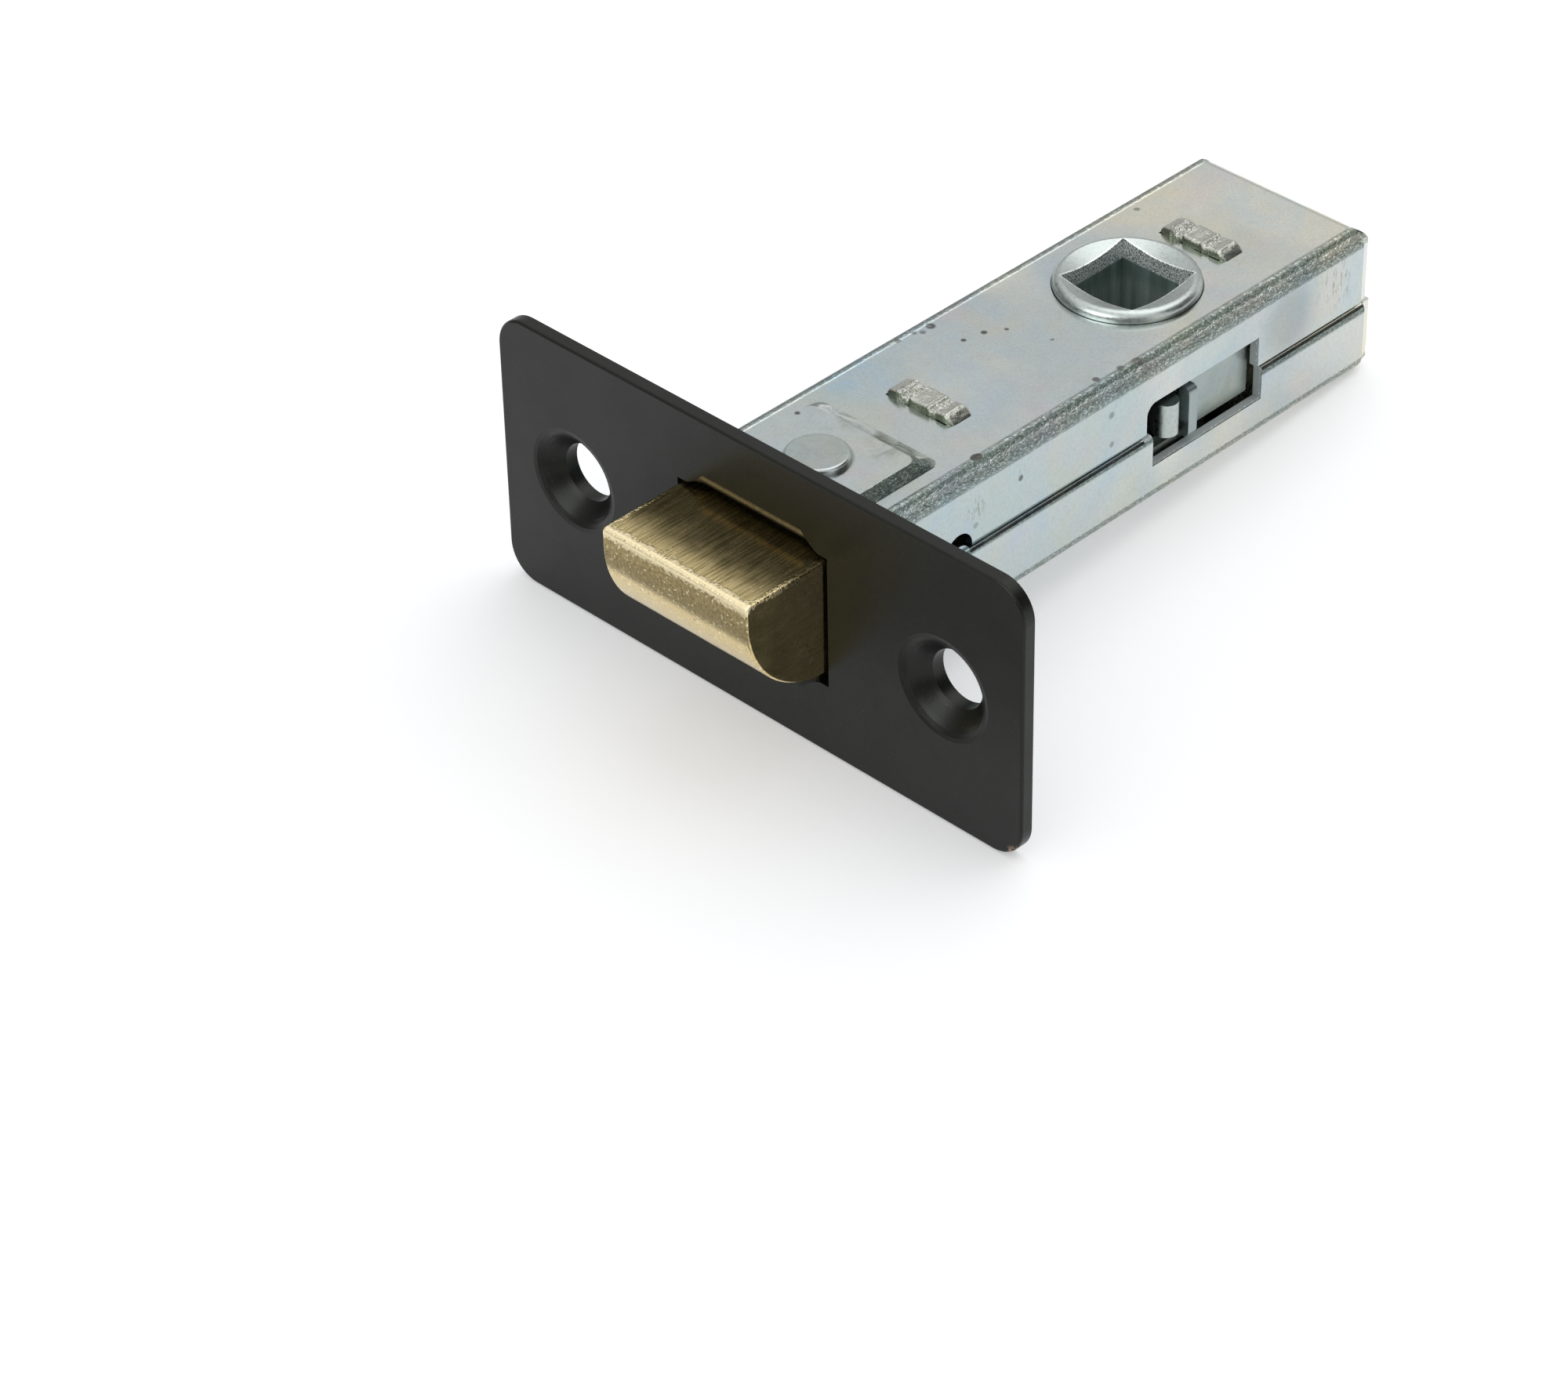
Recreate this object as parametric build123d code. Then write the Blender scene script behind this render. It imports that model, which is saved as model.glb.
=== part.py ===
from build123d import *
import math
import os

# Tubular door latch: a black forend plate riveted to a slim zinc-plated case of two folded
# steel shells.  A sprung latch bolt slides through the forend, and a follower with a
# square hole pulls it back through a retractor with bent ears.
# Frame: origin at the middle of the forend's front face, +X along the forend, +Y into the
# door, +Z along the spindle.  Millimetres.

# Driving dimensions: forend
forend_length = 57.0
forend_height = 25.5
forend_thickness = 1.2
forend_corner_radius = 3.0
forend_edge_radius = 0.25
screw_spacing = 40.6
screw_hole_diameter = 5.2
dimple_diameter = 9.4
dimple_depth = 1.65
dimple_sweep = 130.0
dimple_steps = 6
aperture_width = 16.3
aperture_height = 12.3
tab_width = 10.6
tab_length = 11.0
tab_bend_inner_radius = 0.45
tab_blend_radius = 1.6
tab_blend_arc = 80.0
tab_bend_relief = 0.05
tab_corner_radius = 1.0

# Driving dimensions: case of two folded shells
case_width = 18.6
case_height = 14.1
case_length = 64.4
sheet = 0.9
case_bend_radius = 1.4
upper_skirt_edge = 0.08
upper_edge_radius = 0.12
lower_skirt_edge = -0.3
lower_edge_radius = 0.5
lower_case_extra_length = 0.55
end_wall_inset = 0.3
end_wall_root = 0.5
end_wall_bend_radius = 1.6
end_wall_edge_radius = 0.2
seam_gap = 0.1
pad_height = 1.0
pad_side_run = 0.8
pad_end_run = 2.0
pad_clearance = 0.05
pad_corner_radius = 0.9
pad_overrun = 6.0
locator_y = 13.7
locator_notch_radius = 1.5
locator_notch_z = 0.35
locator_tongue_radius = 1.3
locator_tongue_z = -0.6
window_front = 36.05
window_rear = 50.0
window_top = 3.0
window_front_radius = 1.1
lower_window_front = 36.9
lower_window_rear = 50.55
lower_window_bottom = -3.3

# Driving dimensions: staked cross plates and rivets
plate_thickness = 1.6
plate_width = 13.0
spring_plate_y = 19.4
rear_plate_y = 52.55
stake_width = 7.2
stake_thickness = 2.1
stake_height = 1.05
stake_end_height = 0.8
stake_middle_width = 2.5
stake_groove = 0.3
stake_rounding = 0.35
slot_clearance = 0.05
rivet_y = 7.4
rivet_shank_diameter = 3.0
rivet_head_diameter = 5.4
rivet_head_height = 0.6
rivet_edge_radius = 0.3

# Driving dimensions: latch bolt, its tail and its spring
bolt_projection = 8.5
bolt_length = 16.7
bolt_width = 15.8
bolt_height = 10.7
bolt_top_clearance = 0.15
bevel_radius = 9.0
bolt_nose_edge_radius = 0.45
bolt_edge_radius = 0.2
pocket_diameter = 9.0
pocket_depth = 9.0
tail_width = 5.4
tail_thickness = 1.6
tail_socket_depth = 4.0
tail_edge_radius = 0.2
tail_slot_clearance = 0.3
tail_slot_radius = 0.4
tail_head_width = 9.0
tail_head_length = 1.5
tail_head_radius = 0.4
spring_wire = 0.8
spring_outer_diameter = 8.3
spring_turns = 9
spring_seat_clearance = 0.1

# Driving dimensions: retractor and follower
moving_gap = 0.3
retractor_sheet = 1.05
retractor_height = 9.6
retractor_drop = 0.32
retractor_side_gap = 0.3
retractor_rail_run = 2.1
retractor_arm_run = 8.7
retractor_bend_radius = 1.5
ear_front_y = 41.3
ear_height = 4.8
ear_bend_radius = 1.3
ear_corner_radius = 0.6
lobe_opening_length = 10.0
follower_y = 44.0
follower_square = 7.8
follower_ring_diameter = 12.5
follower_barrel_diameter = 13.45
follower_proud = 0.95
follower_fit = 0.08
follower_dish_angle = 18.0
follower_rim_radius = 0.75
follower_end_play = 0.2
lobe_reach = 10.46
lobe_thickness = 2.2
lobe_height = 3.1
lobe_rest_angle = 28.1

# Worked-out places
half_width = case_width / 2
half_height = case_height / 2
inner_half_width = half_width - sheet
inner_half_height = half_height - sheet
pad_top = half_height + pad_height
tab_top = pad_top - sheet
tab_bottom = tab_top - forend_thickness
outer_bend = tab_bend_inner_radius + forend_thickness
bend_line = tab_bottom + outer_bend
bolt_top = tab_bottom - bolt_top_clearance
bolt_bottom = bolt_top - bolt_height
bolt_rear_y = bolt_length - bolt_projection
pocket_floor_y = bolt_rear_y - pocket_depth
spring_front_face = spring_plate_y - plate_thickness / 2
web_y = spring_plate_y + plate_thickness / 2 + moving_gap
arm_outer = inner_half_width - retractor_side_gap
tail_head_y = web_y + retractor_sheet + moving_gap
retractor_rail_end_y = ear_front_y + retractor_rail_run
retractor_end_y = ear_front_y + retractor_arm_run


def box(x0, x1, y0, y1, z0, z1):
    """A block between two corners."""
    place = Pos((x0 + x1) / 2, (y0 + y1) / 2, (z0 + z1) / 2)
    return place * Box(x1 - x0, y1 - y0, z1 - z0)


def rounded_block(width, height, radius, y0, y1):
    """A block along Y whose XZ outline has rounded corners, centred on the axis."""
    outline = Plane.XZ * RectangleRounded(width, height, radius)
    return Pos(0, y0, 0) * extrude(outline, amount=-(y1 - y0))


def along_y(radius, y0, y1, x=0.0, z=0.0):
    """A round bar along Y."""
    return Pos(x, (y0 + y1) / 2, z) * Rot(X=90) * Cylinder(radius, y1 - y0)


def along_z(radius, z0, z1, x=0.0, y=0.0):
    """A round bar along Z."""
    return Pos(x, y, (z0 + z1) / 2) * Cylinder(radius, z1 - z0)


def mirrored_down(solid):
    """The same solid on the other side of the case's middle plane."""
    return mirror(solid, about=Plane.XY)


def dimple_profile(shift, inner_radius):
    """Half outline of the pressed funnel round a screw hole, offset by the sheet."""
    outer = dimple_diameter / 2
    run = outer - inner_radius
    sweep = math.radians(dimple_sweep)
    points = []
    for step in range(dimple_steps + 1):
        share = step / dimple_steps
        fall = (1 - math.cos(share * sweep)) / (1 - math.cos(sweep))
        points.append((outer - share * run, shift + fall * dimple_depth))
    return points


def forend_plate():
    """Face plate with pressed countersinks and two tabs folded back into the case."""
    blank = rounded_block(forend_length, forend_height, forend_corner_radius, 0, forend_thickness)
    edges = blank.faces().sort_by(Axis.Y)[0].edges()
    plate = fillet(edges, forend_edge_radius)
    hole_radius = screw_hole_diameter / 2
    front = dimple_profile(0.0, hole_radius)
    back = dimple_profile(forend_thickness, hole_radius)
    rim = dimple_diameter / 2
    for side in (-1, 1):
        place = Pos(side * screw_spacing / 2, 0, 0) * Rot(X=-90)
        plate -= Pos(side * screw_spacing / 2, 0, 0) * along_y(rim, -1, forend_thickness + 1)
        ring = Polyline(front + list(reversed(back)) + [front[0]])
        dished = revolve(Plane.XZ * make_face(ring.edges()), axis=Axis.Z)
        plate += place * dished
    half_opening = aperture_width / 2
    plate -= box(-half_opening, half_opening, -1, forend_thickness + 1,
                 -aperture_height / 2, aperture_height / 2)
    for flip in (False, True):
        hollow = tab_bend_hollow()
        tab = folded_tab()
        if flip:
            hollow = mirrored_down(hollow)
            tab = mirrored_down(tab)
        plate -= hollow
        plate += tab
    return plate


def tab_bend_hollow():
    """The space in front of a tab's bend, running out smoothly at both ends."""
    start = tab_bend_relief - tab_blend_radius
    middle = math.sqrt(0.5) * outer_bend
    outline = make_face([
        Line((start, tab_bottom - 1), (start, bend_line)),
        Line((start, bend_line), (0, bend_line)),
        ThreePointArc((0, bend_line), (outer_bend - middle, bend_line - middle), (outer_bend, tab_bottom)),
        Line((outer_bend, tab_bottom), (outer_bend, tab_bottom - 1)),
        Line((outer_bend, tab_bottom - 1), (start, tab_bottom - 1)),
    ])
    side = Plane.YZ * outline
    hollow = Pos(-tab_width / 2, 0, 0) * extrude(side, amount=tab_width)
    for end in (-1, 1):
        place = Pos(end * tab_width / 2, 0, 0)
        axis = Axis((0, -tab_blend_radius, 0), (0, 0, -end))
        hollow += place * revolve(side, axis=axis, revolution_arc=tab_blend_arc)
    return hollow


def folded_tab():
    """A tab of the forend, bent back into the case and holed for its rivet."""
    half = tab_width / 2
    ring = Pos(0, outer_bend, bend_line) * Rot(Y=90) * (
        Cylinder(outer_bend, tab_width) - Cylinder(tab_bend_inner_radius, tab_width + 1)
    )
    quarter = ring & box(-half, half, 0, outer_bend, tab_bottom, bend_line)
    flat = box(-half, half, outer_bend, forend_thickness + tab_length, tab_bottom, tab_top)
    flat = fillet(flat.edges().filter_by(Axis.Z).group_by(Axis.Y)[-1], tab_corner_radius)
    flat -= along_z(rivet_shank_diameter / 2, tab_bottom - 1, tab_top + 1, y=rivet_y)
    return quarter + flat


def pad_block(half, end_y, z_low, z_high):
    """Raised panel with sloped sides and a longer end slope, open towards the forend."""
    start_y = forend_thickness - pad_overrun
    low = Pos(0, (start_y + end_y) / 2, z_low) * RectangleRounded(
        2 * half, end_y - start_y, pad_corner_radius
    )
    top_end = end_y - pad_end_run
    high = Pos(0, (start_y + top_end) / 2, z_high) * RectangleRounded(
        2 * (half - pad_side_run), top_end - start_y, pad_corner_radius
    )
    block = loft([low, high])
    return block & box(-half - 1, half + 1, forend_thickness, end_y + 1, z_low - 1, z_high + 1)


def end_wall(skirt_edge, length, body_end):
    """Flap folded down from the top sheet, its side edges sheared square."""
    root = body_end - end_wall_root
    half = half_width - end_wall_inset
    sides = box(-half, half, root, length, skirt_edge, half_height)
    sheared = sides.edges().filter_by(Axis.Z).group_by(Axis.Y)[-1]
    sides = fillet(sheared, end_wall_edge_radius)
    flap = sides & rounded_block(2 * half, case_height, case_bend_radius, root, length)
    return flap - box(-half_width, half_width, 0, length - sheet, -half_height, inner_half_height)


def folded_shell(skirt_edge, length, is_lower):
    """One half of the case: top sheet, two skirts, an end wall, a raised pad and slots."""
    body_end = length - sheet - seam_gap
    outer = rounded_block(case_width, case_height, case_bend_radius, forend_thickness, body_end)
    inner_radius = case_bend_radius - sheet
    inner = rounded_block(
        2 * inner_half_width, 2 * inner_half_height, inner_radius, forend_thickness - 1, body_end + 1
    )
    shell = outer - inner
    top_part = box(-half_width - 1, half_width + 1, 0, length + 1, skirt_edge, half_height + 1)
    shell = shell & top_part
    lips = [
        e for e in shell.edges().filter_by(Axis.Y)
        if abs(e.center().Z - skirt_edge) < 0.001 and abs(abs(e.center().X) - half_width) < 0.001
    ]
    shell = fillet(lips, lower_edge_radius if is_lower else upper_edge_radius)
    shell += end_wall(skirt_edge, length, body_end)
    envelope = box(-half_width - 1, half_width + 1, 0, length, -half_height, half_height)
    fold = envelope.edges().filter_by(Axis.X).group_by(Axis.Y)[-1].sort_by(Axis.Z)[-1]
    shell &= fillet(fold, end_wall_bend_radius)
    # raised pad that the forend's tab lies in
    side_slant = sheet * math.tan(math.atan2(pad_height, pad_side_run) / 2)
    end_slant = sheet * math.tan(math.atan2(pad_height, pad_end_run) / 2)
    inner_half = tab_width / 2 + pad_clearance + pad_side_run
    inner_end = forend_thickness + tab_length + pad_clearance + pad_end_run
    pad_outer = pad_block(inner_half + side_slant, inner_end + end_slant, half_height, pad_top)
    pad_inner = pad_block(inner_half, inner_end, inner_half_height, tab_top)
    shell = shell + pad_outer - pad_inner
    relief = tab_width / 2 + 2 * tab_bend_relief
    shell -= box(-relief, relief, 0, outer_bend + tab_bend_relief, 0, bend_line + tab_bend_relief)
    # openings
    slot_half = stake_width / 2 - stake_rounding + slot_clearance
    slot_reach = plate_thickness / 2 + slot_clearance
    for y in (spring_plate_y, rear_plate_y):
        shell -= box(-slot_half, slot_half, y - slot_reach, y + slot_reach, 0, half_height + 1)
    hole = follower_ring_diameter / 2 + follower_fit
    shell -= along_z(hole, 0, half_height + 1, y=follower_y)
    shell -= along_z(rivet_shank_diameter / 2, 0, pad_top + 1, y=rivet_y)
    if is_lower:
        window = box(-half_width - 1, half_width + 1, lower_window_front, lower_window_rear,
                     -5, -lower_window_bottom)
    else:
        window = box(-half_width - 1, half_width + 1, window_front, window_rear, -5, window_top)
        corner = window.edges().filter_by(Axis.X).group_by(Axis.Y)[0].sort_by(Axis.Z)[-1]
        window = fillet(corner, window_front_radius)
    shell -= window
    return shell


def upper_case():
    """Upper half: half-round notches at the front take the lower half's tongues."""
    shell = folded_shell(upper_skirt_edge, case_length, False)
    notch = Pos(0, locator_y, locator_notch_z) * Rot(Y=90) * Cylinder(
        locator_notch_radius, case_width + 2
    )
    return shell - notch


def lower_case():
    """Lower half, made the same way and turned over, with a tongue on each skirt."""
    shell = folded_shell(-lower_skirt_edge, case_length + lower_case_extra_length, True)
    bar = Pos(0, locator_y, -locator_tongue_z) * Rot(Y=90) * Cylinder(
        locator_tongue_radius, case_width
    )
    hollow = box(-inner_half_width, inner_half_width, 0, case_length, -half_height, half_height)
    shell += bar - hollow
    return mirrored_down(shell)


def staked_head(y):
    """Peened head of a plate's tab: a raised middle between two rounded ends."""
    half = stake_width / 2
    reach = stake_thickness / 2
    middle = stake_middle_width / 2
    head = box(-half, half, y - reach, y + reach, half_height, half_height + stake_end_height)
    ends = head.faces().filter_by(Axis.X)
    rounded = [e for face in ends for e in face.edges() if e.center().Z > half_height + 0.1]
    head = fillet(rounded, stake_rounding)
    raised = box(-middle, middle, y - plate_thickness / 2, y + plate_thickness / 2,
                 half_height, half_height + stake_height)
    head += raised
    for side in (-1, 1):
        groove = Pos(side * (middle + stake_groove), y, half_height + stake_end_height) * Rot(Y=45)
        head -= groove * Box(stake_groove, stake_thickness + 1, stake_groove)
    return head


def cross_plate(y):
    """Plate across the case; a tab comes through each shell and is staked over it."""
    half = plate_width / 2
    y0 = y - plate_thickness / 2
    y1 = y + plate_thickness / 2
    plate = box(-half, half, y0, y1, -inner_half_height, inner_half_height)
    neck = stake_width / 2 - stake_rounding
    plate += box(-neck, neck, y0, y1, -half_height, half_height)
    head = staked_head(y)
    plate += head
    plate += mirrored_down(head)
    slot = rounded_block(
        tail_width + 2 * tail_slot_clearance, tail_thickness + 2 * tail_slot_clearance, tail_slot_radius,
        y0 - 1, y1 + 1
    )
    return plate - slot


def rivet():
    """Low round rivet that ties the upper shell to the forend's tab, flush inside."""
    head = along_z(rivet_head_diameter / 2, pad_top, pad_top + rivet_head_height, y=rivet_y)
    head = fillet(head.edges().sort_by(Axis.Z)[-1], rivet_edge_radius)
    shank = along_z(rivet_shank_diameter / 2, tab_bottom, pad_top, y=rivet_y)
    return head + shank


def latch_bolt():
    """Bolt head: flat on top, a quarter-round bevel below, hollow behind for its spring."""
    nose_y = -bolt_projection
    knee_z = bolt_bottom + bevel_radius
    heel_y = nose_y + bevel_radius
    middle = math.sqrt(0.5) * bevel_radius
    profile = [
        Line((nose_y, knee_z), (nose_y, bolt_top)),
        Line((nose_y, bolt_top), (bolt_rear_y, bolt_top)),
        Line((bolt_rear_y, bolt_top), (bolt_rear_y, bolt_bottom)),
        Line((bolt_rear_y, bolt_bottom), (heel_y, bolt_bottom)),
        ThreePointArc(
            (heel_y, bolt_bottom), (heel_y - middle, knee_z - middle), (nose_y, knee_z)
        ),
    ]
    side = Plane.YZ * make_face(profile)
    head = Pos(-bolt_width / 2, 0, 0) * extrude(side, amount=bolt_width)
    nose = head.edges().filter_by(Axis.X).filter_by_position(Axis.Y, nose_y - 0.1, nose_y + 0.1)
    head = fillet(nose.sort_by(Axis.Z)[-1], bolt_nose_edge_radius)
    flanks = head.faces().sort_by(Axis.X)
    head = fillet(flanks[0].edges() + flanks[-1].edges(), bolt_edge_radius)
    head -= along_y(pocket_diameter / 2, pocket_floor_y, bolt_rear_y + 1)
    socket = rounded_block(
        tail_width, tail_thickness, tail_edge_radius, pocket_floor_y - tail_socket_depth, pocket_floor_y + 1
    )
    return head - socket


def bolt_tail():
    """Steel strip from the bolt head through the spring, with a T-head behind the retractor."""
    start = pocket_floor_y - tail_socket_depth
    strip = rounded_block(tail_width, tail_thickness, tail_edge_radius, start, tail_head_y)
    half = tail_head_width / 2
    head = box(-half, half, tail_head_y, tail_head_y + tail_head_length,
               -tail_thickness / 2, tail_thickness / 2)
    head = fillet(head.edges().filter_by(Axis.Z), tail_head_radius)
    return strip + head


def bolt_spring():
    """Compression spring between the bolt's pocket and the front cross plate."""
    start = pocket_floor_y + spring_seat_clearance
    end = spring_front_face - spring_seat_clearance
    mean = (spring_outer_diameter - spring_wire) / 2
    coil_length = end - start - spring_wire
    pitch = coil_length / spring_turns
    path = Helix(pitch, coil_length, mean)
    section = Plane(origin=path @ 0, z_dir=path % 0) * Circle(spring_wire / 2)
    coil = sweep(section, path=path)
    return Pos(0, start + spring_wire / 2, 0) * Rot(X=-90) * coil


def retractor():
    """U of strip round the follower; its two ears are bent out for the lobes to push on."""
    height = retractor_height / 2
    ear = ear_height / 2
    inner = arm_outer - retractor_sheet
    outside = box(-arm_outer, arm_outer, web_y, retractor_end_y, -height, height)
    outside = fillet(outside.edges().filter_by(Axis.Z).group_by(Axis.Y)[0], retractor_bend_radius)
    hollow = box(-inner, inner, web_y + retractor_sheet, retractor_end_y + 1, -height - 1, height + 1)
    corner = retractor_bend_radius - retractor_sheet
    hollow = fillet(hollow.edges().filter_by(Axis.Z).group_by(Axis.Y)[0], corner)
    part = outside - hollow
    part -= Pos(0, 0, retractor_drop) * rounded_block(
        tail_width + 2 * tail_slot_clearance, tail_thickness + 2 * tail_slot_clearance, tail_slot_radius,
        web_y - 1, web_y + retractor_sheet + 1
    )
    # behind the ears each arm narrows to the ear's height
    for low, high in ((-height - 1, -ear), (ear, height + 1)):
        part -= box(-arm_outer - 1, arm_outer + 1, retractor_rail_end_y, retractor_end_y + 1, low, high)
    part -= box(-arm_outer - 1, arm_outer + 1, ear_front_y - lobe_opening_length, ear_front_y, -ear, ear)
    for side in (-1, 1):
        x0, x1 = sorted((side * inner, side * half_width))
        lug = box(x0, x1, ear_front_y, ear_front_y + retractor_sheet, -ear, ear)
        tip = lug.edges().filter_by(Axis.Y).group_by(Axis.X)[-1 if side > 0 else 0]
        lug = fillet(tip, ear_corner_radius)
        part += lug
        # the outside of the bend, cut round over the ear's height
        x0, x1 = sorted((side * inner, side * (inner + ear_bend_radius)))
        corner_block = box(x0 - 0.01, x1, ear_front_y, ear_front_y + ear_bend_radius, -ear, ear)
        bend_x = side * (inner + ear_bend_radius)
        part -= corner_block - along_z(
            ear_bend_radius, -ear - 1, ear + 1, x=bend_x, y=ear_front_y + ear_bend_radius
        )
    return Pos(0, 0, -retractor_drop) * part


def follower():
    """Turned hub with an 8 mm square hole, dished ends and two lobes."""
    ring = follower_ring_diameter / 2
    barrel = follower_barrel_diameter / 2
    top = half_height + follower_proud
    shoulder = inner_half_height - follower_end_play
    dish_drop = math.tan(math.radians(follower_dish_angle))
    rim = ring - follower_rim_radius
    rim_middle = follower_rim_radius * math.sqrt(0.5)
    rim_z = top - follower_rim_radius
    outline = [
        Polyline((0, top - rim * dish_drop), (0, 0), (barrel, 0), (barrel, shoulder), (ring, shoulder),
                 (ring, rim_z)),
        ThreePointArc((ring, rim_z), (rim + rim_middle, rim_z + rim_middle), (rim, top)),
        Line((rim, top), (0, top - rim * dish_drop)),
    ]
    half = revolve(Plane.XZ * make_face(outline), axis=Axis.Z)
    hub = half + mirrored_down(half)
    reach = lobe_reach - lobe_thickness / 2
    for side in (-1, 1):
        arm = box(0, reach, -lobe_thickness / 2, lobe_thickness / 2, -lobe_height / 2, lobe_height / 2)
        arm += along_z(lobe_thickness / 2, -lobe_height / 2, lobe_height / 2, x=reach)
        angle = -lobe_rest_angle if side > 0 else 180 + lobe_rest_angle
        hub += Rot(Z=angle) * arm
    hub -= Box(follower_square, follower_square, 2 * case_height)
    return Pos(0, follower_y, 0) * hub


parts = {
    "forend_plate": forend_plate(),
    "upper_case": upper_case(),
    "lower_case": lower_case(),
    "spring_plate": cross_plate(spring_plate_y),
    "rear_plate": cross_plate(rear_plate_y),
    "upper_rivet": rivet(),
    "lower_rivet": mirrored_down(rivet()),
    "latch_bolt": latch_bolt(),
    "bolt_tail": bolt_tail(),
    "bolt_spring": bolt_spring(),
    "retractor": retractor(),
    "follower": follower(),
}

os.makedirs("parts", exist_ok=True)
for name, shape in parts.items():
    solids = shape.solids()
    print(name, "solids", len(solids), "volume", round(sum(s.volume for s in solids), 2))
    export_step(shape, f"parts/{name}.step")
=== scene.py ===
# %% [markdown]
# Tubular door latch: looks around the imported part.
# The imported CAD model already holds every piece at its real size.  This script opens it as
# the fixed frame, then adds what a photograph would show: the camera, a white sheet to lie
# on, soft studio light, the finish of each metal, and the few shapes that a hammer or a
# press leaves behind and that are easier to model as meshes than as solids.

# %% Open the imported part
import math
import bmesh
import bpy
from mathutils import Matrix, Vector, noise


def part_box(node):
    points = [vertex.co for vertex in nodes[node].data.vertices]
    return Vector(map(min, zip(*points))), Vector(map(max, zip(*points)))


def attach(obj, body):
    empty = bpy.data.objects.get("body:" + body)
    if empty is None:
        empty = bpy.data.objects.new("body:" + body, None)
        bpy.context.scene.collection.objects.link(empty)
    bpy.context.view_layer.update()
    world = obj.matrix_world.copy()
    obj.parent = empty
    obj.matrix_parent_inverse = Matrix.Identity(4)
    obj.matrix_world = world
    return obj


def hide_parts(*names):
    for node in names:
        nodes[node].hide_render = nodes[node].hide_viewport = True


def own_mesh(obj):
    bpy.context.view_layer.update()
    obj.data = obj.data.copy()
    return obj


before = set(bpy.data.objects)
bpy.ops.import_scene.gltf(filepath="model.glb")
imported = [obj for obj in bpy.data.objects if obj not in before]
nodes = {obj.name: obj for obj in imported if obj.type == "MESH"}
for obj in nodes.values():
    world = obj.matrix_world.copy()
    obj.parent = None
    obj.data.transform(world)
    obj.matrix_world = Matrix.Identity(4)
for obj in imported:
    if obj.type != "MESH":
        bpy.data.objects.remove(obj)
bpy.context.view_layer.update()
MM = 0.001
for node_name in sorted(nodes):
    low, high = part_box(node_name)
    spans = [f"{axis} {low[k] / MM:6.2f} {high[k] / MM:6.2f}" for k, axis in enumerate("xyz")]
    print(f"{node_name:13s}", "  ".join(spans))

# %% [markdown]
# The camera.
# A product photographer stands well back with a long lens, so parallel edges stay almost
# parallel.  The long straight edges of the forend and of the case fix the view: matching
# them gives the direction, the distance and the focal length.  The camera is built from
# those few numbers and not by eye, so that every later difference in the picture is a
# difference of the object and not of the view.

# %% Camera from the photograph's view
PHOTO_WIDTH = 2000
PHOTO_HEIGHT = 1758
ORIGIN_PIXEL = (960.33, 742.29)
FOCAL_PIXELS = 6458.1
CAMERA_DISTANCE = 396.12 * MM
AZIMUTH = math.radians(45.187)
ELEVATION = math.radians(37.053)
ROLL = math.radians(-1.247)
SENSOR_WIDTH = 36.0

back = Vector((math.sin(AZIMUTH) * math.cos(ELEVATION), -math.cos(AZIMUTH) * math.cos(ELEVATION),
               math.sin(ELEVATION)))
level_right = Vector((math.cos(AZIMUTH), math.sin(AZIMUTH), 0.0))
level_up = back.cross(level_right)
right = level_right * math.cos(ROLL) + level_up * math.sin(ROLL)
up = level_up * math.cos(ROLL) - level_right * math.sin(ROLL)
shift_right = (ORIGIN_PIXEL[0] - PHOTO_WIDTH / 2) / FOCAL_PIXELS * CAMERA_DISTANCE
shift_down = (ORIGIN_PIXEL[1] - PHOTO_HEIGHT / 2) / FOCAL_PIXELS * CAMERA_DISTANCE
eye = back * CAMERA_DISTANCE - right * shift_right + up * shift_down

camera_data = bpy.data.cameras.new("latch_camera")
camera_data.sensor_width = SENSOR_WIDTH
camera_data.lens = FOCAL_PIXELS / PHOTO_WIDTH * SENSOR_WIDTH
camera_data.clip_start = 0.01
camera_data.clip_end = 10.0
camera = bpy.data.objects.new("latch_camera", camera_data)
camera.matrix_world = Matrix((
    (right.x, up.x, back.x, eye.x),
    (right.y, up.y, back.y, eye.y),
    (right.z, up.z, back.z, eye.z),
    (0.0, 0.0, 0.0, 1.0),
))
bpy.context.scene.collection.objects.link(camera)
bpy.context.scene.camera = camera
bpy.context.scene.view_settings.view_transform = "Standard"
print("lens", round(camera_data.lens, 2), "mm, eye at", [round(v / MM, 1) for v in eye])

# %% [markdown]
# The floor.
# The latch does not stand level.  It rests on the long lower edge of the forend and, at the
# far end, on the first thing under the case that reaches the table.  Instead of guessing
# the tilt, the next cell measures it: from the forend's lowest back edge it looks along the
# underside and takes the smallest slope to any point of the part.  The part stays in its
# frame, and the white sheet under it gets the slope.

# %% Slope of the floor under the resting latch
HEEL_BAND = 0.01 * MM
REAR_START = 15 * MM
forend_points = [v.co for v in nodes["forend_plate"].data.vertices]
lowest = min(p.z for p in forend_points)
heel = max((p for p in forend_points if p.z < lowest + HEEL_BAND), key=lambda p: p.y)
slope = min(
    math.atan2(v.co.z - heel.z, v.co.y - heel.y)
    for piece in nodes.values() for v in piece.data.vertices if v.co.y > REAR_START
)
print("floor slope", round(math.degrees(slope), 2), "degrees from y", round(heel.y / MM, 2))

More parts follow.
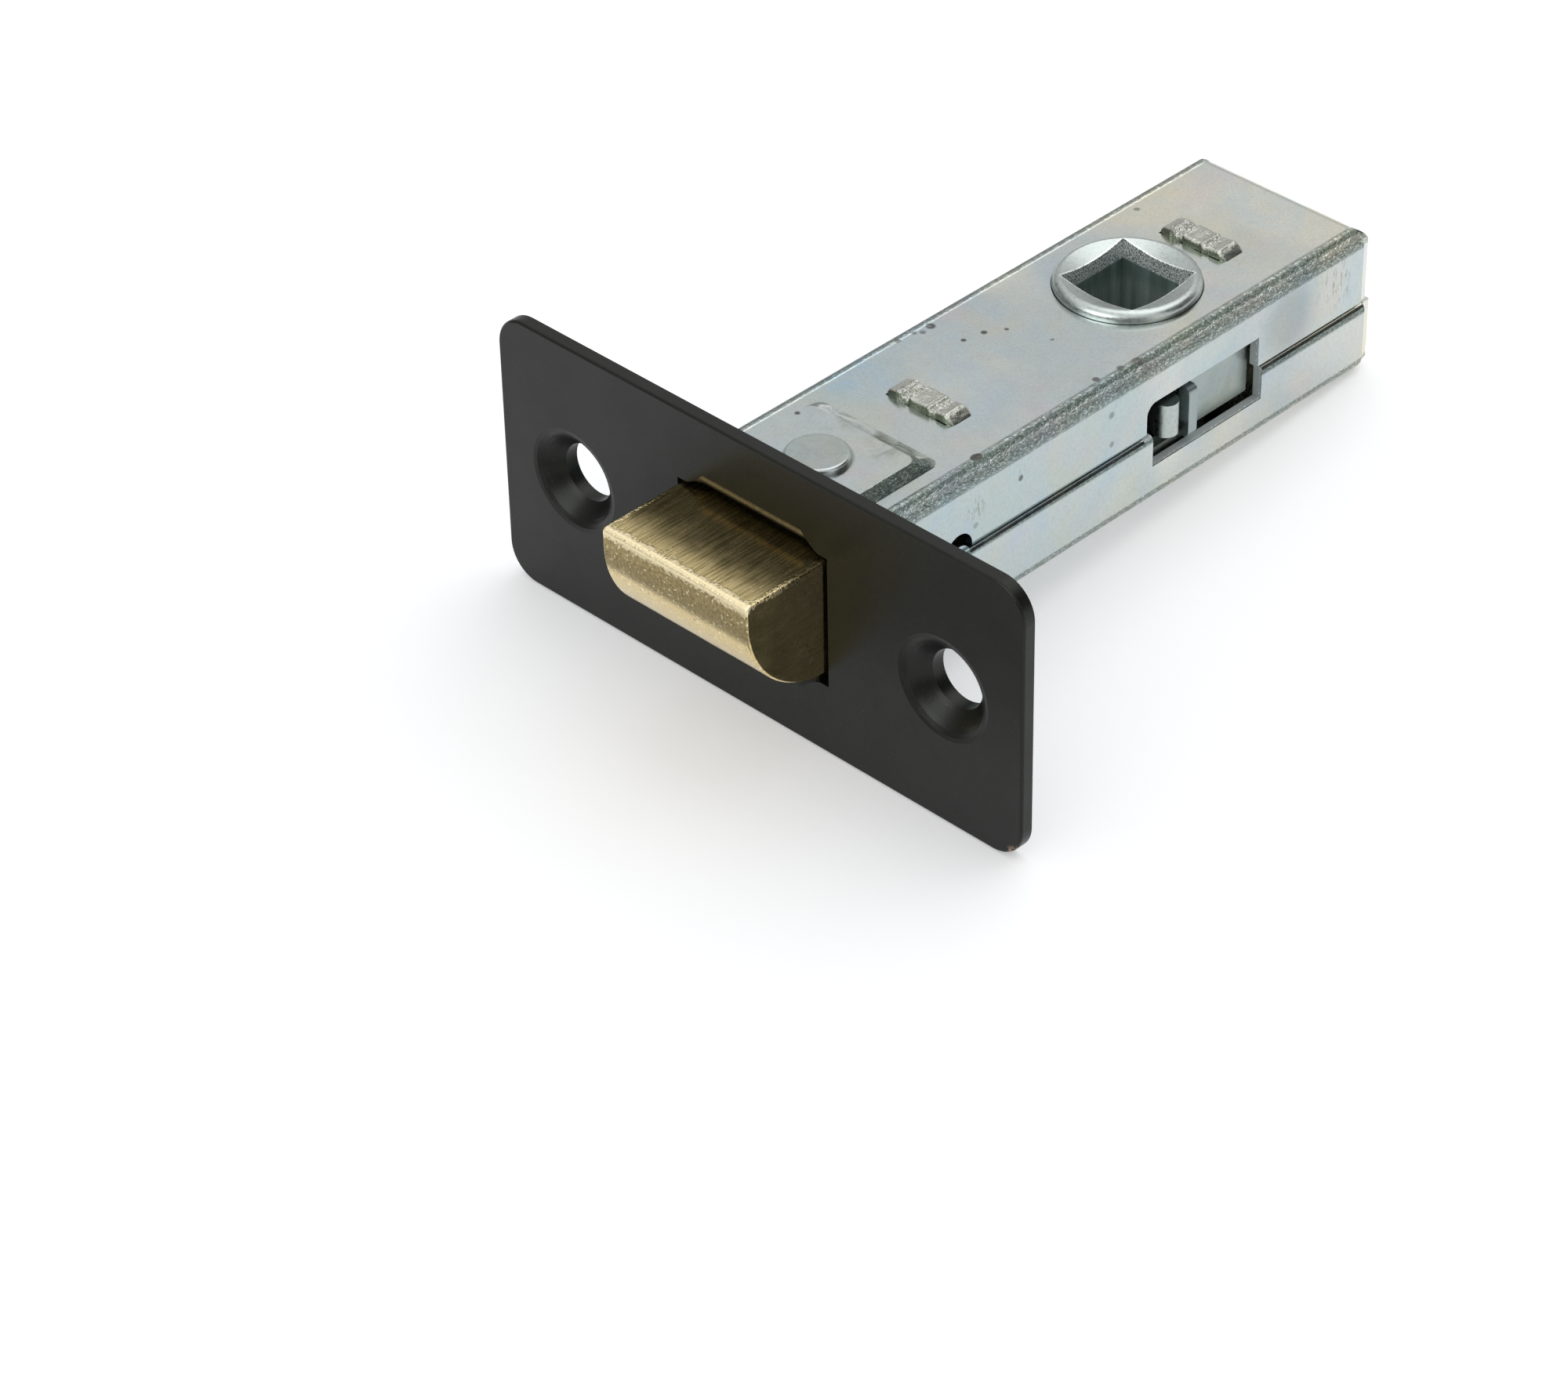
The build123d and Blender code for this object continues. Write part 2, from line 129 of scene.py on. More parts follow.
# %% White sheet to lie on
FLOOR_SIZE = 3.0
floor_along = Vector((0.0, math.cos(slope), math.sin(slope)))
floor_mesh = bpy.data.meshes.new("white_sheet")
floor_corners = [
    Vector((0.0, heel.y, heel.z)) + Vector((1, 0, 0)) * FLOOR_SIZE * a + floor_along * FLOOR_SIZE * b
    for a, b in ((-1, -1), (1, -1), (1, 1), (-1, 1))
]
floor_mesh.from_pydata(floor_corners, [], [(0, 1, 2, 3)])
floor = bpy.data.objects.new("white_sheet", floor_mesh)
bpy.context.scene.collection.objects.link(floor)

# %% [markdown]
# Building a finish.
# A finish is a small graph of shader nodes.  Every graph below needs the same few moves:
# a place on the piece in millimetres, a noise pattern of a given size, a soft threshold, a
# mix of two colours and a bump.  Writing each move once as a short helper keeps the graphs
# readable.  The place comes from the object's own coordinates, so a pattern moves with its
# piece when the latch works.


# %% Helpers for shader graphs
WHITE = (1.0, 1.0, 1.0)


class Finish:
    """A material under construction: each method adds one node and hands back its output."""

    def __init__(self, name):
        self.material = bpy.data.materials.new(name)
        self.material.use_nodes = True
        self.nodes = self.material.node_tree.nodes
        self.links = self.material.node_tree.links
        self.shader = self.nodes["Principled BSDF"]
        self.output = self.nodes["Material Output"]
        coordinate = self.nodes.new("ShaderNodeTexCoord")
        scaled = self.nodes.new("ShaderNodeVectorMath")
        scaled.operation = "SCALE"
        scaled.inputs["Scale"].default_value = 1 / MM
        self.links.new(coordinate.outputs["Object"], scaled.inputs[0])
        self.place = scaled.outputs[0]
        self.normal = coordinate.outputs["Normal"]
        split = self.nodes.new("ShaderNodeSeparateXYZ")
        self.links.new(self.place, split.inputs[0])
        self.x, self.y, self.z = split.outputs

    def feed(self, value, socket):
        """Puts a number, a colour or another node's output on a socket."""
        if isinstance(value, bpy.types.NodeSocket):
            self.links.new(value, socket)
        elif isinstance(value, (tuple, list)) and len(value) == 3 and socket.type == "RGBA":
            socket.default_value = (*value, 1.0)
        else:
            socket.default_value = value

    def stretched(self, factors, offset=(0.0, 0.0, 0.0)):
        """The place on the piece with each axis scaled, for grain that runs one way."""
        mapping = self.nodes.new("ShaderNodeMapping")
        mapping.inputs["Scale"].default_value = factors
        mapping.inputs["Location"].default_value = offset
        self.links.new(self.place, mapping.inputs["Vector"])
        return mapping.outputs["Vector"]

    def noise(self, per_mm, detail=2.0, roughness=0.5, place=None, distortion=0.0):
        """Cloudy noise with this many cells to the millimetre."""
        texture = self.nodes.new("ShaderNodeTexNoise")
        texture.inputs["Scale"].default_value = per_mm
        texture.inputs["Detail"].default_value = detail
        texture.inputs["Roughness"].default_value = roughness
        texture.inputs["Distortion"].default_value = distortion
        self.links.new(place or self.place, texture.inputs["Vector"])
        return texture.outputs["Fac"]

    def ramp(self, value, low, high, start=0.0, end=1.0):
        """Smooth step of a value from start to end as it goes from low to high."""
        step = self.nodes.new("ShaderNodeMapRange")
        step.interpolation_type = "SMOOTHSTEP"
        self.feed(value, step.inputs["Value"])
        step.inputs["From Min"].default_value = low
        step.inputs["From Max"].default_value = high
        step.inputs["To Min"].default_value = start
        step.inputs["To Max"].default_value = end
        return step.outputs["Result"]

    def math(self, operation, first, second=0.0):
        """One sum, product, minimum or the like."""
        step = self.nodes.new("ShaderNodeMath")
        step.operation = operation
        self.feed(first, step.inputs[0])
        self.feed(second, step.inputs[1])
        return step.outputs[0]

    def times(self, *factors):
        """Product of several masks."""
        result = factors[0]
        for factor in factors[1:]:
            result = self.math("MULTIPLY", result, factor)
        return result

    def largest(self, masks):
        """The largest of several masks."""
        result = masks[0]
        for mask in masks[1:]:
            result = self.math("MAXIMUM", result, mask)
        return result

    def size(self, value):
        """A value without its sign."""
        return self.math("ABSOLUTE", value)

    def band(self, value, low, high, soft):
        """1 between low and high, fading over the soft width at both ends."""
        rise = self.ramp(value, low - soft, low + soft)
        fall = self.ramp(value, high - soft, high + soft, 1.0, 0.0)
        return self.times(rise, fall)

    def mix(self, share, first, second, blend="MIX"):
        """First colour where the share is 0, second where it is 1."""
        step = self.nodes.new("ShaderNodeMix")
        step.data_type = "RGBA"
        step.blend_type = blend
        self.feed(share, step.inputs["Factor"])
        self.feed(first, step.inputs["A"])
        self.feed(second, step.inputs["B"])
        return step.outputs["Result"]

    def tinted(self, colour, tint, share=1.0):
        """A colour multiplied by a tint, by a share of 0 to 1."""
        return self.mix(share, colour, tint, "MULTIPLY")

    def near(self, point, inner, outer):
        """1 within the inner radius of a point in millimetres, 0 beyond the outer one."""
        away = self.nodes.new("ShaderNodeVectorMath")
        away.operation = "DISTANCE"
        self.links.new(self.place, away.inputs[0])
        away.inputs[1].default_value = point
        return self.ramp(away.outputs["Value"], inner, outer, 1.0, 0.0)

    def spots(self, marks, ragged):
        """Mask of small marks: (x, y, z, radius, share) each, with edges torn by a noise."""
        spots = [
            self.times(self.near((x, y, z), 0.6 * radius, 1.2 * radius), share)
            for x, y, z, radius, share in marks
        ]
        return self.times(self.largest(spots), self.ramp(ragged, 0.30, 0.44))

    def bump(self, height, depth_mm, strength=1.0, under=None):
        """Bump from a height pattern, over an earlier bump if there is one."""
        step = self.nodes.new("ShaderNodeBump")
        step.inputs["Strength"].default_value = strength
        step.inputs["Distance"].default_value = depth_mm * MM
        self.feed(height, step.inputs["Height"])
        if under is not None:
            self.links.new(under, step.inputs["Normal"])
        return step.outputs["Normal"]

    def set(self, **values):
        """Feeds the main shader's sockets, named with underscores for spaces."""
        for name, value in values.items():
            self.feed(value, self.shader.inputs[name.replace("_", " ")])
        return self.material


# %% [markdown]
# Light and background.
# The photograph has a bright white surround and very soft shadows on all sides, as under a
# large diffuser hung over the table.  A dome of even light gives the soft fill, and one wide
# soft box overhead, behind the latch, gives the shadow in front of the forend.  The floor
# shows white to the camera and to shiny metal without putting more light on the object.

# %% Dome of soft light
DOME_STRENGTH = 0.75
DOME_TINT = (0.97, 0.985, 1.0)
world = bpy.data.worlds.new("studio_dome")
bpy.context.scene.world = world
world.use_nodes = True
world_nodes = world.node_tree.nodes
world_links = world.node_tree.links
dome = world_nodes["Background"]
dome.inputs["Color"].default_value = (*DOME_TINT, 1.0)
dome.inputs["Strength"].default_value = DOME_STRENGTH
surround = world_nodes.new("ShaderNodeBackground")
surround.inputs["Color"].default_value = (*WHITE, 1.0)
surround.inputs["Strength"].default_value = 1.0
ray = world_nodes.new("ShaderNodeLightPath")
seen = world_nodes.new("ShaderNodeMath")
seen.operation = "MAXIMUM"
world_links.new(ray.outputs["Is Camera Ray"], seen.inputs[0])
seen_too = world_nodes.new("ShaderNodeMath")
seen_too.operation = "MAXIMUM"
world_links.new(ray.outputs["Is Glossy Ray"], seen_too.inputs[0])
world_links.new(ray.outputs["Is Transmission Ray"], seen_too.inputs[1])
world_links.new(seen_too.outputs[0], seen.inputs[1])
choice = world_nodes.new("ShaderNodeMixShader")
world_links.new(seen.outputs[0], choice.inputs[0])
world_links.new(dome.outputs[0], choice.inputs[1])
world_links.new(surround.outputs[0], choice.inputs[2])
world_links.new(choice.outputs[0], world_nodes["World Output"].inputs["Surface"])

# %% Soft box overhead
LATCH_MIDDLE = Vector((0.0, 0.028, 0.0))
BOX_PLACE = Vector((0.0, 0.36, 0.84))
BOX_SIZE = 0.85
BOX_WATTS = 2.2
box_data = bpy.data.lights.new("overhead_soft_box", "AREA")
box_data.shape = "SQUARE"
box_data.size = BOX_SIZE
box_data.energy = BOX_WATTS
soft_box = bpy.data.objects.new("overhead_soft_box", box_data)
soft_box.location = BOX_PLACE
soft_box.rotation_euler = (LATCH_MIDDLE - BOX_PLACE).to_track_quat("-Z", "Y").to_euler()
bpy.context.scene.collection.objects.link(soft_box)

# %% [markdown]
# Cards for the metal to reflect.
# Metal and gloss show what stands round them, and a room that is white all over makes them
# look like chalk.  So a photographer hangs cloths and cards out of the camera's sight, and
# here only reflections see them.  A dark drape goes round the front in an arc and makes the
# powder coat and the steep sides of the small pieces dark.  A bright panel in front of it
# puts the highlights on rounded front edges and in the pressed funnels.  A grey scrim behind
# on the left gives the top of the case its tone, a black flag darkens the bend along the
# case's long edge, and a dark card lies on the table in front of the forend.

# %% What only reflections see


def only_reflected(name, corners, faces, rise_axis, low, high, low_glow, high_glow):
    """A glowing mesh for reflections alone; its glow goes from low to high along one axis."""
    mesh = bpy.data.meshes.new(name)
    mesh.from_pydata(corners, [], faces)
    card = bpy.data.objects.new(name, mesh)
    card.visible_camera = False
    card.visible_diffuse = False
    card.visible_shadow = False
    glowing = Finish(name)
    lamp = glowing.nodes.new("ShaderNodeEmission")
    rise = glowing.ramp(getattr(glowing, rise_axis), low / MM, high / MM, low_glow, high_glow)
    glowing.feed(rise, lamp.inputs["Strength"])
    glowing.links.new(lamp.outputs[0], glowing.output.inputs["Surface"])
    mesh.materials.append(glowing.material)
    bpy.context.scene.collection.objects.link(card)
    return card


def facing_card(name, direction, distance, width, height, low_glow, high_glow):
    """A flat card turned to face the latch."""
    corners = [(a * width / 2, b * height / 2, 0.0) for a, b in ((-1, -1), (1, -1), (1, 1), (-1, 1))]
    card = only_reflected(
        name, corners, [(0, 1, 2, 3)], "y", -height / 2, height / 2, low_glow, high_glow,
    )
    card.location = LATCH_MIDDLE + Vector(direction).normalized() * distance
    card.rotation_euler = (LATCH_MIDDLE - card.location).to_track_quat("Z", "Y").to_euler()


def hung_drape(name, start, end, radius, foot, top, low_glow, high_glow, folds=24):
    """Cloth hung in an arc; the angles go from straight in front towards the right."""
    corners = []
    for fold in range(folds + 1):
        angle = math.radians(start + (end - start) * fold / folds)
        x, y = radius * math.sin(angle), -radius * math.cos(angle)
        corners += [(x, y, foot), (x, y, top)]
    faces = [(2 * k, 2 * k + 2, 2 * k + 3, 2 * k + 1) for k in range(folds)]
    drape = only_reflected(name, corners, faces, "z", foot, top, low_glow, high_glow)
    drape.location = LATCH_MIDDLE


# %% Scrim, flag, drape, panel and dark card
facing_card("grey_scrim", direction=(-0.62, 0.62, 0.42), distance=0.9, width=1.7, height=1.2,
            low_glow=0.36, high_glow=0.9)
facing_card("black_flag", direction=(0.62, 0.60, 0.46), distance=0.5, width=0.5, height=0.42,
            low_glow=0.03, high_glow=0.03)
hung_drape("grey_drape", start=-100.0, end=75.0, radius=0.85, foot=-0.10, top=0.72,
           low_glow=0.10, high_glow=0.52)
facing_card("bright_panel", direction=(-0.03, -0.86, 0.50), distance=0.7, width=0.50, height=0.40,
            low_glow=3.6, high_glow=3.6)
DARK_CARD_X = (-0.030, 0.026)
DARK_CARD_Y = (-0.033, -0.015)
DARK_CARD_GLOW = 0.25
CARD_LIFT = 0.3 * MM
card_corners = [
    (x, y, heel.z + math.tan(slope) * (y - heel.y) + CARD_LIFT)
    for x, y in ((DARK_CARD_X[0], DARK_CARD_Y[0]), (DARK_CARD_X[1], DARK_CARD_Y[0]),
                 (DARK_CARD_X[1], DARK_CARD_Y[1]), (DARK_CARD_X[0], DARK_CARD_Y[1]))
]
only_reflected("dark_card", card_corners, [(0, 1, 2, 3)], "y", *DARK_CARD_Y,
               DARK_CARD_GLOW, DARK_CARD_GLOW)

# %% Finish of the white sheet
SHEET_WHITE = (0.86, 0.86, 0.865)
SHEET_LIFT = 0.30
sheet = Finish("white_sheet")
sheet.set(Base_Color=SHEET_WHITE, Roughness=0.9, Specular_IOR_Level=0.1)
glow = sheet.nodes.new("ShaderNodeEmission")
glow.inputs["Color"].default_value = (*WHITE, 1.0)
path = sheet.nodes.new("ShaderNodeLightPath")
seen_rays = [path.outputs[f"Is {kind} Ray"] for kind in ("Camera", "Glossy", "Transmission")]
sheet.feed(sheet.times(sheet.largest(seen_rays), SHEET_LIFT), glow.inputs["Strength"])
together = sheet.nodes.new("ShaderNodeAddShader")
sheet.links.new(sheet.shader.outputs[0], together.inputs[0])
sheet.links.new(glow.outputs[0], together.inputs[1])
sheet.links.new(together.outputs[0], sheet.output.inputs["Surface"])
floor.data.materials.append(sheet.material)


# %% [markdown]
# Zinc plate with a clear passivate.
# The case is folded from steel strip, plated with zinc and dipped in a passivating bath.
# The film that the bath leaves is thinner than a wavelength of light, so it tints the metal
# in broad faint clouds of pale blue, straw and pink, cooler at the front of this case and
# warmer at its rear, where a painted sheen also makes it lighter.  Where the press has bent
# the sheet the plating is stretched to an orange peel, darkened partly by painted shade and
# sparkling with painted glints.  Small dark pits, a stain and rubbed smudges sit where the
# photograph shows them.  Painted shade lies on the sides, over the seam, on its rolled edge,
# in the hollow of the bend and round the rivet, and painted highlights on the slope of the
# pad and on the burrs.  The shader mixes these one after the other over a metallic base.

# %% Zinc colours
ZINC_FRONT = (0.585, 0.640, 0.640)
# the rear is warmer and also lighter, by a painted sheen
ZINC_REAR_AND_SHEEN = (0.80, 0.795, 0.705)
WARMING_AND_SHEEN_Y = (22.0, 66.0)
BLUE_TINT = (0.90, 0.98, 1.08)
STRAW_TINT = (1.05, 1.0, 0.90)
PINK_TINT = (1.04, 0.97, 1.0)
GRAIN_TINT = (0.86, 0.86, 0.86)
SMUDGE_TINT = (0.80, 0.81, 0.78)
# painted shade on the sides, deeper at the rear
SIDE_PAINTED_SHADE = (0.86, 0.905, 0.905)
SIDE_REAR_PAINTED_SHADE = (0.82, 0.84, 0.90)
DULL_PATCH_TINT = (0.78, 0.77, 0.76)
# stretched plate: dark partly by painted shade, with painted glints; painted shade in the hollow
PEEL_DARK_AND_SHADE = (0.42, 0.455, 0.435)
PEEL_GLINT = (1.02, 1.04, 1.01)
HOLLOW_PAINTED_SHADE = (0.42, 0.45, 0.43)
# painted shade over the seam, and painted shade and glints on the rolled edge
SEAM_SHADE = (0.17, 0.23, 0.22)
ROLLED_EDGE_SHADE = (0.19, 0.23, 0.21)
ROLLED_EDGE_GLINT = (0.46, 0.50, 0.47)
CUT_EDGE = (0.50, 0.55, 0.54)
# painted glints on the burr
CUT_BURR_GLINT = (0.92, 0.94, 0.93)
# painted highlight on the pad's rear slope
SLOPE_PAINTED_HIGHLIGHT = (0.96, 0.98, 0.95)
FILM_BLUE = (0.84, 0.98, 1.12)
DARK_PIT = (0.09, 0.085, 0.075)
# painted shade round the rivet
RING_SHADE = (0.52, 0.54, 0.50)
RUBBED_TINT = (0.66, 0.67, 0.62)
SCUFF_TINT = (0.62, 0.60, 0.56)

# %% Places on the case, in millimetres
PAD_RISE = 1.0
CASE_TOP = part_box("upper_case")[1].z / MM - PAD_RISE
CASE_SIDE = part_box("upper_case")[1].x / MM
PAD_TOP = CASE_TOP + PAD_RISE
PAD_FADE_Z = (7.2, 7.4)
PAD_SIDE_X = (5.15, 6.75)
PAD_SIDE_END_Y = (13.2, 14.6)
PAD_REAR_X = (5.3, 5.7)
PAD_REAR_Y = (13.0, 15.6)
BEND_X = (7.75, 8.1)
BEND_Z = (5.5, 5.8)
HOLLOW_X = (8.24, 8.70)
RIDGE_X = (8.72, 9.04)
SEAM_MIDDLE_Y = 27.0
SEAM_FALL = 0.0075
WINDOW_Y = (35.95, 50.65)
WINDOW_Z = (-3.42, 3.08)
WINDOW_WALL_X = (8.32, 9.22)
WINDOW_BURR_X = (9.0, 9.22)
RIVET_Y = (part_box("upper_rivet")[0].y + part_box("upper_rivet")[1].y) / 2 / MM
STAIN = (8.0, 17.0)
STAIN_STRETCH = 1.45

# %% Marks on the case
# pits: two places on the named face, a radius and a share of darkness
TOP_PITS = [
    (-7.46, 28.3, 0.45, 0.9), (-7.9, 24.87, 0.3, 0.8), (-7.72, 26.63, 0.25, 0.6),
    (-7.3, 27.2, 0.3, 0.6), (-4.08, 28.59, 0.25, 0.9), (-3.65, 30.57, 0.3, 0.9),
    (-2.62, 32.17, 0.22, 0.8), (1.1, 33.56, 0.2, 0.8), (-7.07, 53.25, 0.3, 0.6),
    (7.58, 31.61, 0.35, 0.8), (8.21, 35.92, 0.5, 0.7), (7.9, 34.2, 0.35, 0.7),
]
PAD_PITS = [
    (-7.24, 9.03, 0.25, 0.9), (-5.51, 10.8, 0.25, 0.9), (3.2, 13.9, 0.35, 0.9), (4.1, 13.5, 0.4, 0.7),
]
SIDE_PITS = [
    (20.83, 3.71, 0.3, 0.8), (31.64, 4.34, 0.35, 0.5), (31.74, 1.48, 0.3, 0.5),
    (15.6, 1.84, 0.3, 0.4),
]
# soft round patches: a point, the radius of the full mark and the radius where it ends
DULL_PATCH = ((CASE_SIDE, 53.8, 3.0), 1.5, 4.5)
BLUE_FILM = ((-7.6, 18.5, CASE_TOP), 1.5, 6.5)
RIVET_RING = ((0.0, RIVET_Y, PAD_TOP), 2.74, 3.05)
RUBBED_PLACES = [((-3.0, 13.2, PAD_TOP), 0.5, 3.4), ((3.0, 12.6, PAD_TOP), 0.5, 3.2)]
SCUFFED_PLACES = [
    ((CASE_SIDE, 15.6, 3.4), 0.2, 1.7), ((CASE_SIDE, 60.0, 3.6), 0.4, 3.4),
    ((CASE_SIDE, 21.2, 4.2), 0.1, 0.9),
]


# %% Zinc finish
def zinc_ground(zinc):
    """Plain passivated plate: warmer to the rear with a painted sheen, faint clouds and fine grain.
    """
    wander = zinc.noise(0.07, detail=2.0, distortion=0.5)
    along = zinc.math("ADD", zinc.y, zinc.ramp(wander, 0.3, 0.7, -14.0, 14.0))
    colour = zinc.mix(zinc.ramp(along, *WARMING_AND_SHEEN_Y), ZINC_FRONT, ZINC_REAR_AND_SHEEN)
    clouds = zinc.noise(0.12, detail=4.0, roughness=0.6, distortion=0.8)
    second = zinc.noise(0.17, detail=3.0, place=zinc.stretched((1, 1, 1), (31.0, 7.0, 12.0)))
    colour = zinc.tinted(colour, BLUE_TINT, zinc.ramp(clouds, 0.34, 0.5, 0.75, 0.0))
    colour = zinc.tinted(colour, STRAW_TINT, zinc.ramp(clouds, 0.5, 0.66, 0.0, 0.7))
    colour = zinc.tinted(colour, PINK_TINT, zinc.ramp(second, 0.5, 0.68, 0.0, 0.8))
    grain = zinc.noise(5.0, detail=3.0, roughness=0.7)
    colour = zinc.tinted(colour, GRAIN_TINT, zinc.ramp(grain, 0.28, 0.62, 0.75, 0.0))
    smudge = zinc.noise(0.5, detail=6.0, roughness=0.65, distortion=1.2)
    colour = zinc.tinted(colour, SMUDGE_TINT, zinc.ramp(smudge, 0.56, 0.72, 0.0, 0.30))
    return colour, grain, smudge


def side_shade_and_patch(zinc, colour, side):
    """Painted shade: sides a little darker and bluer than the top, more so at the rear; a dull patch.
    """
    colour = zinc.tinted(colour, SIDE_PAINTED_SHADE, zinc.times(side, zinc.ramp(zinc.z, -0.6, 0.2, 0.45, 1.0)))
    colour = zinc.tinted(colour, SIDE_REAR_PAINTED_SHADE, zinc.times(side, zinc.ramp(zinc.y, 38.0, 52.0)))
    return zinc.tinted(colour, DULL_PATCH_TINT, zinc.times(side, zinc.near(*DULL_PATCH)))


def stretched_plate_shade_and_glints(zinc, colour, spark):
    """Stretched plate on the long bends and pad sides, with painted shade and glints, and its mask.
    """
    sideways = zinc.size(zinc.x)
    height = zinc.size(zinc.z)
    bend = zinc.times(zinc.ramp(sideways, *BEND_X), zinc.ramp(height, *BEND_Z))
    slant = zinc.times(
        zinc.band(sideways, *PAD_SIDE_X, 0.12),
        zinc.band(height, CASE_TOP + 0.02, PAD_TOP - 0.04, 0.03),
        zinc.ramp(zinc.y, *PAD_SIDE_END_Y, 1.0, 0.0),
    )
    stretched = zinc.math("MAXIMUM", bend, slant)
    # dark partly by painted shade, bright by painted glints
    peel_shade_colour = zinc.tinted(colour, PEEL_DARK_AND_SHADE)
    peel_glint_colour = zinc.tinted(colour, PEEL_GLINT)
    # painted highlight along the ridge; painted shade in the hollow and on the sides of the pads
    ridge_highlight = zinc.times(zinc.band(sideways, *RIDGE_X, 0.12), 0.45)
    hollow = zinc.times(zinc.band(sideways, *HOLLOW_X, 0.16), bend)
    sparkle = zinc.math("ADD", zinc.ramp(spark, 0.48, 0.66), ridge_highlight)
    colour = zinc.mix(stretched, colour, zinc.mix(sparkle, peel_shade_colour, peel_glint_colour))
    shaded = zinc.math("MAXIMUM", hollow, zinc.times(slant, 0.85))
    return zinc.tinted(colour, HOLLOW_PAINTED_SHADE, shaded), stretched


def seam_shade(zinc, colour, side, spark):
    """Painted shade over the seam, which falls a little to the rear, and on its rolled lower edge
    with painted glints.
    """
    fall = zinc.math("MULTIPLY", zinc.math("SUBTRACT", zinc.y, SEAM_MIDDLE_Y), SEAM_FALL)
    seam = zinc.math("ADD", zinc.z, fall)
    above = zinc.times(side, zinc.ramp(seam, 0.14, 0.44, 1.0, 0.0), zinc.ramp(zinc.z, 0.0, 0.04))
    colour = zinc.tinted(colour, SEAM_SHADE, above)
    # painted shade and painted glints on the rolled lower edge
    rolled = zinc.times(side, zinc.ramp(seam, -0.98, -0.66), zinc.ramp(zinc.z, -0.2, 0.0, 1.0, 0.0))
    rolled_shade_and_glints = zinc.mix(zinc.ramp(spark, 0.42, 0.64), ROLLED_EDGE_SHADE, ROLLED_EDGE_GLINT)
    return zinc.tinted(colour, rolled_shade_and_glints, rolled)


def window_edges(zinc, colour, spark):
    """Sheared edges of the window, dull but for a burr with painted glints, and their mask."""
    sideways = zinc.size(zinc.x)
    cut = zinc.times(
        zinc.band(zinc.z, *WINDOW_Z, 0.04), zinc.band(zinc.y, *WINDOW_Y, 0.04),
        zinc.band(sideways, *WINDOW_WALL_X, 0.05),
    )
    colour = zinc.mix(cut, colour, CUT_EDGE)
    burr_glint = zinc.times(cut, zinc.band(sideways, *WINDOW_BURR_X, 0.05), zinc.ramp(spark, 0.52, 0.62))
    return zinc.mix(burr_glint, colour, CUT_BURR_GLINT), cut


def pad_shine(zinc, colour, smudge):
    """Painted highlight on the rear slope of the pad, and the film at its bluest beside the pad."""
    rear_slope = zinc.times(
        zinc.band(zinc.y, *PAD_REAR_Y, 0.15),
        zinc.band(zinc.z, CASE_TOP + 0.03, PAD_TOP - 0.03, 0.02),
        zinc.ramp(zinc.size(zinc.x), *PAD_REAR_X, 1.0, 0.0),
    )
    slope_highlight = zinc.times(rear_slope, zinc.ramp(smudge, 0.50, 0.60, 1.0, 0.1))
    colour = zinc.mix(slope_highlight, colour, SLOPE_PAINTED_HIGHLIGHT)
    blue_film = zinc.times(zinc.near(*BLUE_FILM), zinc.ramp(smudge, 0.35, 0.6, 0.4, 1.0))
    return zinc.tinted(colour, FILM_BLUE, blue_film)


def pits_and_stain(zinc, colour, smudge):
    """Small dark pits and one oval stain."""
    marks = [(x, y, CASE_TOP, radius, share) for x, y, radius, share in TOP_PITS]
    marks += [(x, y, PAD_TOP, radius, share) for x, y, radius, share in PAD_PITS]
    marks += [(CASE_SIDE, y, z, radius, share) for y, z, radius, share in SIDE_PITS]
    colour = zinc.mix(zinc.spots(marks, smudge), colour, DARK_PIT)
    middle = (-STAIN_STRETCH * STAIN[0], -STAIN[1], -CASE_TOP)
    oval = zinc.stretched((STAIN_STRETCH, 1.0, 1.0), middle)
    away = zinc.nodes.new("ShaderNodeVectorMath")
    away.operation = "LENGTH"
    zinc.links.new(oval, away.inputs[0])
    return zinc.mix(zinc.ramp(away.outputs["Value"], 0.50, 0.64, 0.92, 0.0), colour, DARK_PIT)


def ring_shade_rubs_and_scuffs(zinc, colour, smudge):
    """Painted shade in a ring round the rivet, rubbed places on the pad and scuffs on the side."""
    ring = zinc.times(zinc.near(*RIVET_RING), zinc.ramp(zinc.z, *PAD_FADE_Z, 0.35, 0.85))
    colour = zinc.tinted(colour, RING_SHADE, ring)
    rubbed = zinc.times(
        zinc.largest([zinc.near(*place) for place in RUBBED_PLACES]),
        zinc.ramp(smudge, 0.42, 0.62, 0.0, 0.75), zinc.ramp(zinc.z, *PAD_FADE_Z),
    )
    colour = zinc.tinted(colour, RUBBED_TINT, rubbed)
    hatch_place = zinc.stretched((1.0, 1.6, 0.4), (0.0, 4.0, 2.0))
    hatch = zinc.noise(2.4, detail=4.0, roughness=0.7, place=hatch_place)
    scuffs = zinc.largest([zinc.near(*place) for place in SCUFFED_PLACES])
    return zinc.tinted(colour, SCUFF_TINT, zinc.times(scuffs, zinc.ramp(hatch, 0.52, 0.62)))


